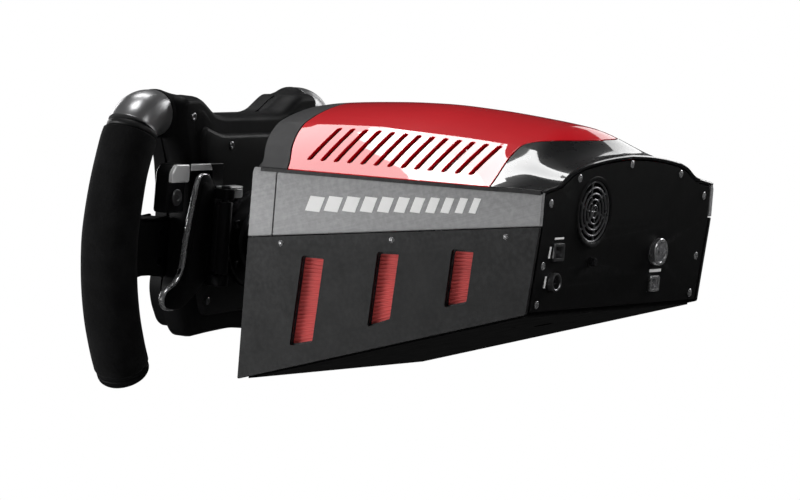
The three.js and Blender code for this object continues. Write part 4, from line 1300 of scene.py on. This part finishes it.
def rotary_knobs():
    profile = [(3.4, -110.2), (3.4, -118.0), (9.0, -118.1), (9.5, -118.8), (9.5, -126.2),
               (9.1, -127.4), (8.0, -128.0), (6.2, -127.8), (5.8, -127.2)]
    for tag, (x, z) in KNOBS.items():
        add("rotary_" + tag, fluted(profile, 120, (x, z), knob_flute), "knob_" + tag,
            "black", "black_plastic", "knob_" + tag, angle=45)
        add("rotary_pointer_" + tag,
            prism(rect(x - 0.45, x + 0.45, z + 1.5, z + 7.6), -128.0, -127.1),
            "knob_" + tag, "white", "black_plastic", bevel=0.15)


def direction_pad():
    """Cross key in a dished well."""
    well = [(9.3, -111.0), (9.3, -109.4), (10.0, -109.2), (10.4, -112), (10.9, -117.3),
            (11.6, -118.0), (13.0, -117.8), (13.4, -117.1), (11.0, -117.0)]
    add("direction_pad_well", lathe(well, 56, PAD), "wheel", "cap", "dark_cap")
    floor = [(3.4, -112.2), (3.4, -113.0), (9.1, -114.2), (9.4, -113.8), (9.4, -112.2),
             (3.4, -112.2)]
    add("direction_pad_floor", lathe(floor, 56, PAD), "wheel", "black", "black_plastic")
    arm, reach = 2.8, 8.2
    corners = [(arm, arm), (arm, reach), (-arm, reach), (-arm, arm), (-reach, arm),
               (-reach, -arm), (-arm, -arm), (-arm, -reach), (arm, -reach), (arm, -arm),
               (reach, -arm), (reach, arm)]
    cross = rounded([(x, PAD[1] + z) for x, z in corners], 0.9)
    key = stack(cross, [(0, -116.1), (0, -119.4), (0.4, -120.1), (0.9, -120.35)])
    stem = lathe([(0, -110.2), (2.9, -110.2), (2.9, -116.6), (0, -116.6)], 32, PAD)
    add("direction_pad_cross", join([key, stem]), "direction_pad", "gloss_button",
        "black_gloss", "direction_pad", angle=40)


hub_rear()
hub_front()
lamp_bar()
face_details()
buttons()
rotary_knobs()
direction_pad()

# ------------------------------------------------------------------ wheel: spokes, paddles
PIVOT_X, PIVOT_Y = 50, -65
# Outlines on the right, (x, z)
SPOKE = [(71.6, 15.6), (98, 13.2), (114, 16), (114, -28), (98, -25.2), (71.6, -27.6)]
PADDLE = [(55, 28), (60, 42), (67, 48), (76, 47), (80, 40), (87, 10), (90, -14),
          (96, -27), (110, -33), (113, -41), (105, -47), (88, -46), (74, -38), (55, -22)]
INLAY = [(62, 37), (69, 42), (74, 41), (80, 12), (83, -14), (86, -28), (77, -29),
         (62, -17)]
PADDLE_EDGE = [(66.5, 46.6), (73.0, 46.9), (76.9, 45.0), (79.4, 39.0), (82.6, 25),
               (86.3, 9.6), (88.1, -2), (89.6, -14.2), (92.6, -22.4), (97.4, -27.4),
               (104, -30.6), (109.4, -33.6), (111.9, -38.4), (110.0, -43.2), (105, -46.0),
               (97, -46.2)]
BRACKET = [(39, -31), (54, -31), (54, 37), (56, 37), (56, 50), (86, 50), (86, 54),
           (42, 54), (42, 37), (39, 34)]
# Outlines on the right, (x, y)
EAR = [(42, -74), (54, -74), (54, -61.5), (50, -59.9), (46, -59.9), (42, -64)]
CLIP_TOP = [(27, -73), (52, -73), (52, -62.5), (33, -62.5), (27, -66)]
CLIP_BODY = [(27, -73), (41.6, -73), (41.6, -62.5), (33, -62.5), (27, -66)]
WEB = [(PIVOT_X + 2.9, -69.9), (PIVOT_X + 7, -69.9), (PIVOT_X + 7, -66),
       (PIVOT_X + 4, -64.2), (PIVOT_X + 3, -64.2)]


def spoke(tag, side):
    """Moulded covers in front of and behind the spoke, with two screws each."""
    outline = rounded(SPOKE, 2.5)
    front = [(1.4, -113.6), (0.5, -113.0), (0, -112.0), (0, -111.2)]
    rear = [(0, -97.6), (0, -96.4), (0.6, -95.2), (1.8, -94.6)]
    for place_name, steps in (("front", front), ("rear", rear)):
        add(f"spoke_cover_{place_name}_{tag}", stack(outline, steps, side), "wheel",
            "shell", "black_plastic", angle=40)
    front_screw = [(0, -113.9), (1.1, -113.9), (1.5, -114.2), (2.4, -114.2),
                   (2.9, -113.8), (3.0, -113.3), (0, -113.3)]
    rear_screw = [(0, -94.4), (1.1, -94.4), (1.5, -94.1), (2.4, -94.1), (2.9, -94.4),
                  (3.0, -94.9), (0, -94.9)]
    centres = [(side * 83, 4), (side * 83, -16)]
    add("spoke_screws_" + tag,
        join([lathes(front_screw, 28, centres), lathes(rear_screw, 28, centres)]),
        "wheel", "dark_alu", "dark_aluminium", angle=40)


def paddle(tag, side):
    """Pressed plate with its pivot barrel, the web between them and a raised inlay."""
    body = "paddle_" + tag
    blade = stack(rounded(PADDLE, 5, 6), [
        (0.9, -72.4), (0.25, -72.1), (0, -71.5), (0, -70.1), (0.25, -69.5), (0.9, -69.2)],
        side)
    barrel = lathe([(2.85, -22), (5.1, -22), (5.4, -21.6), (5.4, 27.6), (5.1, 28),
                    (2.85, 28), (2.85, -22)], 40, (side * PIVOT_X, PIVOT_Y), axis="z")
    web = prism(mirrored(side, rounded(WEB, 0.8, 3)), -20, 26, axis="z")
    add("paddle_plate_" + tag, join([blade, barrel, web]), body, "paddle",
        "dark_aluminium", body, angle=38)
    inlay = stack(rounded(INLAY, 4, 5), [(0, -69.3), (0, -68.9), (0.5, -68.6)], side)
    add("paddle_inlay_" + tag, inlay, body, "shell", "black_plastic", angle=40)


def paddle_edge(tag, side):
    """Polished bead along the outer edge, slightly deeper at the lower end."""
    count, segments = 120, 12
    path = spline(PADDLE_EDGE, count)
    verts = []
    for k, point in enumerate(path):
        direction = (path[min(k + 1, count)] - path[max(k - 1, 0)]).normalized()
        swell = 0.55 + 0.45 * math.sin(math.pi * k / count) ** 0.5
        half_depth = 2.15 + 0.25 * smoothstep(k, 66, 96)
        verts += sweep_ring(side, point, direction, -70.8, 1.15 * swell,
                            half_depth * swell, 0.6, segments)
    add("paddle_edge_" + tag, (verts, skin(count + 1, segments)), "paddle_" + tag,
        "chrome", "chrome", angle=50)


def paddle_bracket(tag, side):
    """Folded plate with two ears, its bright clip and the pivot pin."""
    parts = [prism(mirrored(side, rounded(BRACKET, 2)), -75.65, -73.5)]
    for low, high in ((-31, -23.7), (29.7, 37)):
        parts.append(prism(mirrored(side, rounded(EAR, 2.4)), low, high, axis="z"))
    add("bracket_plate_" + tag, join(parts), "wheel", "paddle", "dark_aluminium",
        "paddle_bracket_" + tag, bevel=0.45)
    # the clip's near-white diffuse metal is painted reflection
    clip = [prism(mirrored(side, rounded(outline, 2.0)), low, high, axis="z")
            for outline, low, high in ((CLIP_TOP, 37.15, 38.5), (CLIP_BODY, 30.6, 36.9))]
    add("bracket_clip_" + tag, join(clip), "wheel", "bright", "chrome", bevel=0.5)
    pin = [(0, -31.6), (2.2, -31.6), (2.3, -31), (2.3, 37), (3.4, 37.1), (3.4, 38.6),
           (2.9, 39.2), (0, 39.2)]
    add("paddle_pin_" + tag, lathe(pin, 28, (side * PIVOT_X, PIVOT_Y), axis="z"), "wheel",
        "dark_alu", "dark_aluminium", angle=40)


def paddle_sensor(tag, side):
    """Dark block with a bright head, the strip leading to it and a round cap."""
    block = rounded([(84.2, 20.2), (105.8, 20.2), (105.8, 48), (101, 53.8), (84.2, 53.8)],
                    2.5, 5)
    head = rounded([(84, 41.5), (105.6, 41.5), (105.6, 48.4), (101, 53.8), (84, 53.8)],
                   1.6, 5)
    beam = rounded([(57, 49.6), (84, 49.6), (84, 54.2), (60, 54.2)], 1.2)
    # the bright head and beam trim take near-white diffuse metal, which is painted reflection
    for name, outline, steps, material, slot in (
            ("sensor_block_", block, [(0.8, -87.8), (0, -87.0), (0, -77.4), (0.8, -76.6)],
             "paddle", "dark_aluminium"),
            ("sensor_head_", head, [(0.6, -76.9), (0, -76.4), (0, -74.2), (0.8, -73.5)],
             "bright", "chrome"),
            ("bracket_beam_trim_", beam, [(0, -73.45), (0, -72.9), (0.5, -72.4)],
             "bright", "chrome")):
        add(name + tag, stack(outline, steps, side), "wheel", material, slot)
    cap = [(0, -76.5), (5.2, -76.5), (5.8, -76.0), (5.8, -75.2), (5.2, -74.6),
           (2.4, -74.6), (2.0, -75.0), (0, -75.0)]
    add("sensor_cap_" + tag, lathe(cap, 40, (side * 95.5, 31)), "wheel", "steel", "chrome")


for tag, side in SIDES:
    spoke(tag, side)
    paddle(tag, side)
    paddle_edge(tag, side)
    paddle_bracket(tag, side)
    paddle_sensor(tag, side)

# ------------------------------------------------------------------ wheel: release hub
SLEEVE = [(15.2, -75.6), (33.4, -75.6), (34, -75), (34, -70.2), (33.4, -69.6),
          (22, -69.2), (19.9, -67.2), (19.5, -65), (19.5, -23.6), (19.0, -23),
          (15.2, -23), (15.2, -75.6)]
HUB_BOLT = [(0, -68.2), (1.4, -68.2), (1.8, -67.9), (2.9, -67.9), (3.2, -68.3),
            (3.2, -69.6), (0, -69.6)]
RELEASE_RING = [(20.45, -54), (28.4, -54), (29.4, -53.4), (29.8, -52.4), (29.8, -50.6),
                (29.6, -50), (29.6, -28.2), (29.9, -27.6), (29.9, -25.2), (29.3, -24.3),
                (28.4, -24), (20.45, -24)]
RING_BAND = [(29.0, -53.9), (30.0, -53.6), (30.4, -52.8), (30.4, -51.2), (30.0, -50.6),
             (29.0, -50.6), (29.0, -53.9)]


def ring_flute(radius, y, angle):
    """Twelve grooves between the ring's two rims."""
    return 2.3 * (0.5 + 0.5 * math.cos(12 * angle)) ** 4 if -50.3 < y < -28 else 0.0


add("wheel_hub_sleeve", lathe(SLEEVE, 72), "wheel", "dark_alu", "dark_aluminium",
    "wheel_hub")
add("hub_bolts", lathes(HUB_BOLT, 28, circle((0, 0), 28, 6, phase=0.4)), "wheel",
    "dark_alu", "dark_aluminium", angle=40)
add("release_ring_grip", fluted(RELEASE_RING, 192, (0, 0), ring_flute, looped=True),
    "release_ring", "black", "black_plastic", "release_ring")
# the band's near-white diffuse metal is painted reflection
add("release_ring_band", lathe(RING_BAND, 96), "release_ring", "bright", "chrome",
    angle=40)

# ------------------------------------------------------------------ CAD pieces kept as they are
CAD_MATERIALS = {
    "bearing_block": "alu", "front_bearing": "steel", "rear_bearing": "steel",
    "main_shaft": "steel", "drive_pulley": "black", "encoder_magnet": "steel",
    "sensor_board": "board", "jack_pulley": "black", "jack_pin": "steel",
    "motor_rotor": "steel", "motor_stator": "cap", "motor_bracket": "alu",
    "belt_to_shaft": "rubber", "belt_from_motor": "rubber", "fan_frame": "black",
    "wheel_board": "board", "control_board": "board", "base_tray": "black",
    "rim_frame": "shell",
}
for node_name, material in CAD_MATERIALS.items():
    piece = frame["nodes"][node_name]
    piece.data.materials.clear()
    piece.data.materials.append(MATERIALS[material])
    for polygon in piece.data.polygons:
        polygon.use_smooth = True
    piece.data.set_sharp_from_angle(angle=math.radians(32))
    if material != "rubber":
        edge = piece.modifiers.new("edge", "BEVEL")
        edge.width = 0.0012 if node_name == "rim_frame" else 0.0004
        edge.segments = 2
        edge.limit_method = "ANGLE"
        edge.angle_limit = math.radians(40)


# ------------------------------------------------------------------ floor
def floor_material():
    made = bpy.data.materials.new("studio_floor")
    made.use_nodes = True
    tree = made.node_tree
    surface = tree.nodes["Principled BSDF"]
    cloud = add_node(tree, "TexNoise", {"Scale": 3}).outputs["Fac"]
    set_inputs(tree, surface, {
        "Base Color": mix_color(tree, cloud, grey(0.80), grey(0.84)),
        "Roughness": 0.9, "Specular IOR Level": 0.1})
    geometry = add_node(tree, "NewGeometry")
    camera_ray = add_node(tree, "LightPath").outputs["Is Camera Ray"]
    # away from the object the floor fades into one pale tone for the camera only
    distance = add_node(tree, "VectorMath", {0: geometry.outputs["Position"]},
                        operation="LENGTH").outputs["Value"]
    fade = remap(tree, distance, from_min=0.3, from_max=1.7, to_max=0.97,
                 interpolation_type="SMOOTHSTEP")
    pale = add_node(tree, "Emission", {"Color": grey(0.66)}).outputs[0]
    faded = mix_shader(tree, calculate(tree, "MULTIPLY", fade, camera_ray),
                       surface.outputs[0], pale)
    # a camera under the floor sees through it
    below = calculate(tree, "MULTIPLY", geometry.outputs["Backfacing"], camera_ray)
    clear = add_node(tree, "BsdfTransparent").outputs[0]
    set_inputs(tree, tree.nodes["Material Output"],
               {"Surface": mix_shader(tree, below, faded, clear)})
    return made


FLOOR_HALF, FLOOR_Z = 7, -0.0005  # metres
floor_mesh = bpy.data.meshes.new("studio_floor")
floor_mesh.from_pydata(
    [(x, y, FLOOR_Z) for x, y in rect(-FLOOR_HALF, FLOOR_HALF, -FLOOR_HALF, FLOOR_HALF)],
    [], [(0, 1, 2, 3)])
floor = bpy.data.objects.new("studio_floor", floor_mesh)
floor_mesh.materials.append(floor_material())
scene.collection.objects.link(floor)
floor.visible_glossy = False


# ------------------------------------------------------------------ world
def build_world():
    """Dim grey gradient for the lighting, plain white for the camera."""
    world = bpy.data.worlds.new("studio")
    scene.world = world
    world.use_nodes = True
    tree = world.node_tree
    tree.nodes.clear()
    coords = add_node(tree, "TexCoord").outputs["Generated"]
    height = add_node(tree, "SeparateXYZ", {0: coords}).outputs["Z"]
    gradient = color_ramp(tree, remap(tree, height, from_min=-1, from_max=1),
                          (0.46, grey(0.03)), (1.0, opaque(0.062, 0.062, 0.063)),
                          (0.62, opaque(0.026, 0.026, 0.0265)))
    dim = add_node(tree, "Background", {"Color": gradient, "Strength": 0.8})
    white = add_node(tree, "Background", {"Color": grey(1), "Strength": 1.0})
    camera_ray = add_node(tree, "LightPath").outputs["Is Camera Ray"]
    add_node(tree, "OutputWorld", {"Surface": mix_shader(
        tree, camera_ray, dim.outputs[0], white.outputs[0])})


build_world()

# ------------------------------------------------------------------ camera
AZIMUTH, ELEVATION = math.radians(122), math.radians(2.2)
VIEW_TILT = math.radians(-12.2)  # turns the view about x
CAMERA_DISTANCE = 4.0            # metres from the steering origin
AIM_SHIFT = 0.010625             # sideways aim per unit forward

view_back = Vector((math.sin(AZIMUTH) * math.cos(ELEVATION),
                    -math.cos(AZIMUTH) * math.cos(ELEVATION), math.sin(ELEVATION)))
view_right = Vector((math.cos(AZIMUTH), math.sin(AZIMUTH), 0))
tilt_view = Matrix.Rotation(VIEW_TILT, 3, "X")
view_back, view_right = tilt_view @ view_back, tilt_view @ view_right
eye = ORIGIN + view_back * CAMERA_DISTANCE
aim = (-view_back + view_right * AIM_SHIFT).normalized()
camera_right = view_right - aim * view_right.dot(aim)
camera_right.normalize()
camera_up = camera_right.cross(aim)
camera_up.normalize()

camera = bpy.data.objects.new("camera", bpy.data.cameras.new("camera"))
camera.data.sensor_width = 36
camera.data.lens = 258
camera.data.clip_start = 0.1
camera.data.clip_end = 60
camera.matrix_world = (Matrix.Translation(eye)
                       @ Matrix((camera_right, camera_up, -aim)).transposed().to_4x4())
scene.collection.objects.link(camera)
scene.camera = camera

# ------------------------------------------------------------------ lights (metres, watts)
BOX_DISTANCE = 1.5


def softbox(name, location, size, power, target=Vector((0, -0.03, 0.1)), size_y=None):
    light = bpy.data.lights.new(name, "AREA")
    light.shape = "RECTANGLE"
    light.size = size
    light.size_y = size_y or size
    light.energy = power
    obj = bpy.data.objects.new(name, light)
    obj.location = location
    obj.rotation_mode = "QUATERNION"
    obj.rotation_quaternion = (Vector(location) - target).to_track_quat("Z", "Y")
    obj.visible_camera = False
    scene.collection.objects.link(obj)


def reflection(x, y):
    """Roof point, and the direction in which it mirrors the camera's view."""
    def on_roof(x, y):
        return TO_WORLD @ Vector((x, y, roof_z(x, y)))

    point = on_roof(x, y)
    across = on_roof(x + 1.5, y) - on_roof(x - 1.5, y)
    along = on_roof(x, y + 1.5) - on_roof(x, y - 1.5)
    normal = across.cross(along).normalized()
    normal = normal if normal.z > 0 else -normal
    to_eye = (eye - point).normalized()
    return point, (2 * normal.dot(to_eye)) * normal - to_eye


def mirror_plane(x, y):
    """Centre, axes and ray of the plane that a roof point mirrors to the camera."""
    point, ray = reflection(x, y)
    turn = ray.to_track_quat("Z", "Y")
    return (point + ray * BOX_DISTANCE, turn @ Vector((1, 0, 0)),
            turn @ Vector((0, 1, 0)), ray)


def plane_box(name, plane, first_span, second_span, radiance):
    """Softbox in a mirror plane, given by its reach along the two plane axes."""
    centre, first_axis, second_axis, ray = plane
    location = centre + first_axis * sum(first_span) / 2 + second_axis * sum(second_span) / 2
    width, height = first_span[1] - first_span[0], second_span[1] - second_span[0]
    softbox(name, location, width, power=radiance * math.pi * width * height,
            target=location - ray, size_y=height)


def band_reach(plane, x_span, y_span, margin):
    """Reach in the plane of what a patch of roof mirrors, with a margin round it."""
    centre, first_axis, second_axis, ray = plane
    hits = []
    for x in np.linspace(*x_span, 4):
        for y in np.linspace(*y_span, 6):
            point, direction = reflection(x, y)
            length = (centre - point).dot(ray) / direction.dot(ray)
            hit = point + direction * length - centre
            hits.append((hit.dot(first_axis), hit.dot(second_axis)))
    return [(min(values) - margin, max(values) + margin) for values in zip(*hits)]


# boxes mirrored by the right side band of the roof: front half, then rear half and cap
front_x, front_y = (76, 112), (10, 104)
front_plane = mirror_plane(sum(front_x) / 2, sum(front_y) / 2)
plane_box("band_box_front", front_plane,
          *band_reach(front_plane, front_x, front_y, margin=0.015), radiance=4.6)
rear_plane = mirror_plane(96, 155)
plane_box("band_box_rear", rear_plane, (-0.14, 0.13), (-0.11, 0.12), radiance=8.5)
plane_box("band_box_cap", rear_plane, (-0.44, -0.14), (-0.03, 0.24), radiance=8.0)
plane_box("rear_rim_box", rear_plane, (-0.85, -0.43), (-1.75, -0.90), radiance=1.5)

softbox("top_box", Vector((0.25, 0.15, 1.9)), size=0.68, power=12)
softbox("side_box", Vector((0.95, -1.1, 0.5)), size=0.5, power=12.5)
# narrow strip that catches the edge of the right paddle
strip_target = TO_WORLD @ Vector((85, -70, 20))
strip_turn, strip_rise = math.radians(59.5), math.radians(10)
strip_way = Vector((math.sin(strip_turn), -math.cos(strip_turn), math.tan(strip_rise)))
softbox("edge_strip", strip_target + strip_way * BOX_DISTANCE, size=0.12, size_y=0.36,
        power=0.6, target=strip_target)
softbox("front_fill", Vector((-0.9, -1.8, 0.9)), size=0.9, power=9)
softbox("left_fill", Vector((-1.75, 0.75, 0.75)), size=0.8, power=9)
softbox("rear_fill", Vector((0.1, 1.9, 0.5)), size=0.5, power=5)

scene.view_settings.view_transform = "Standard"
scene.view_settings.look = "None"
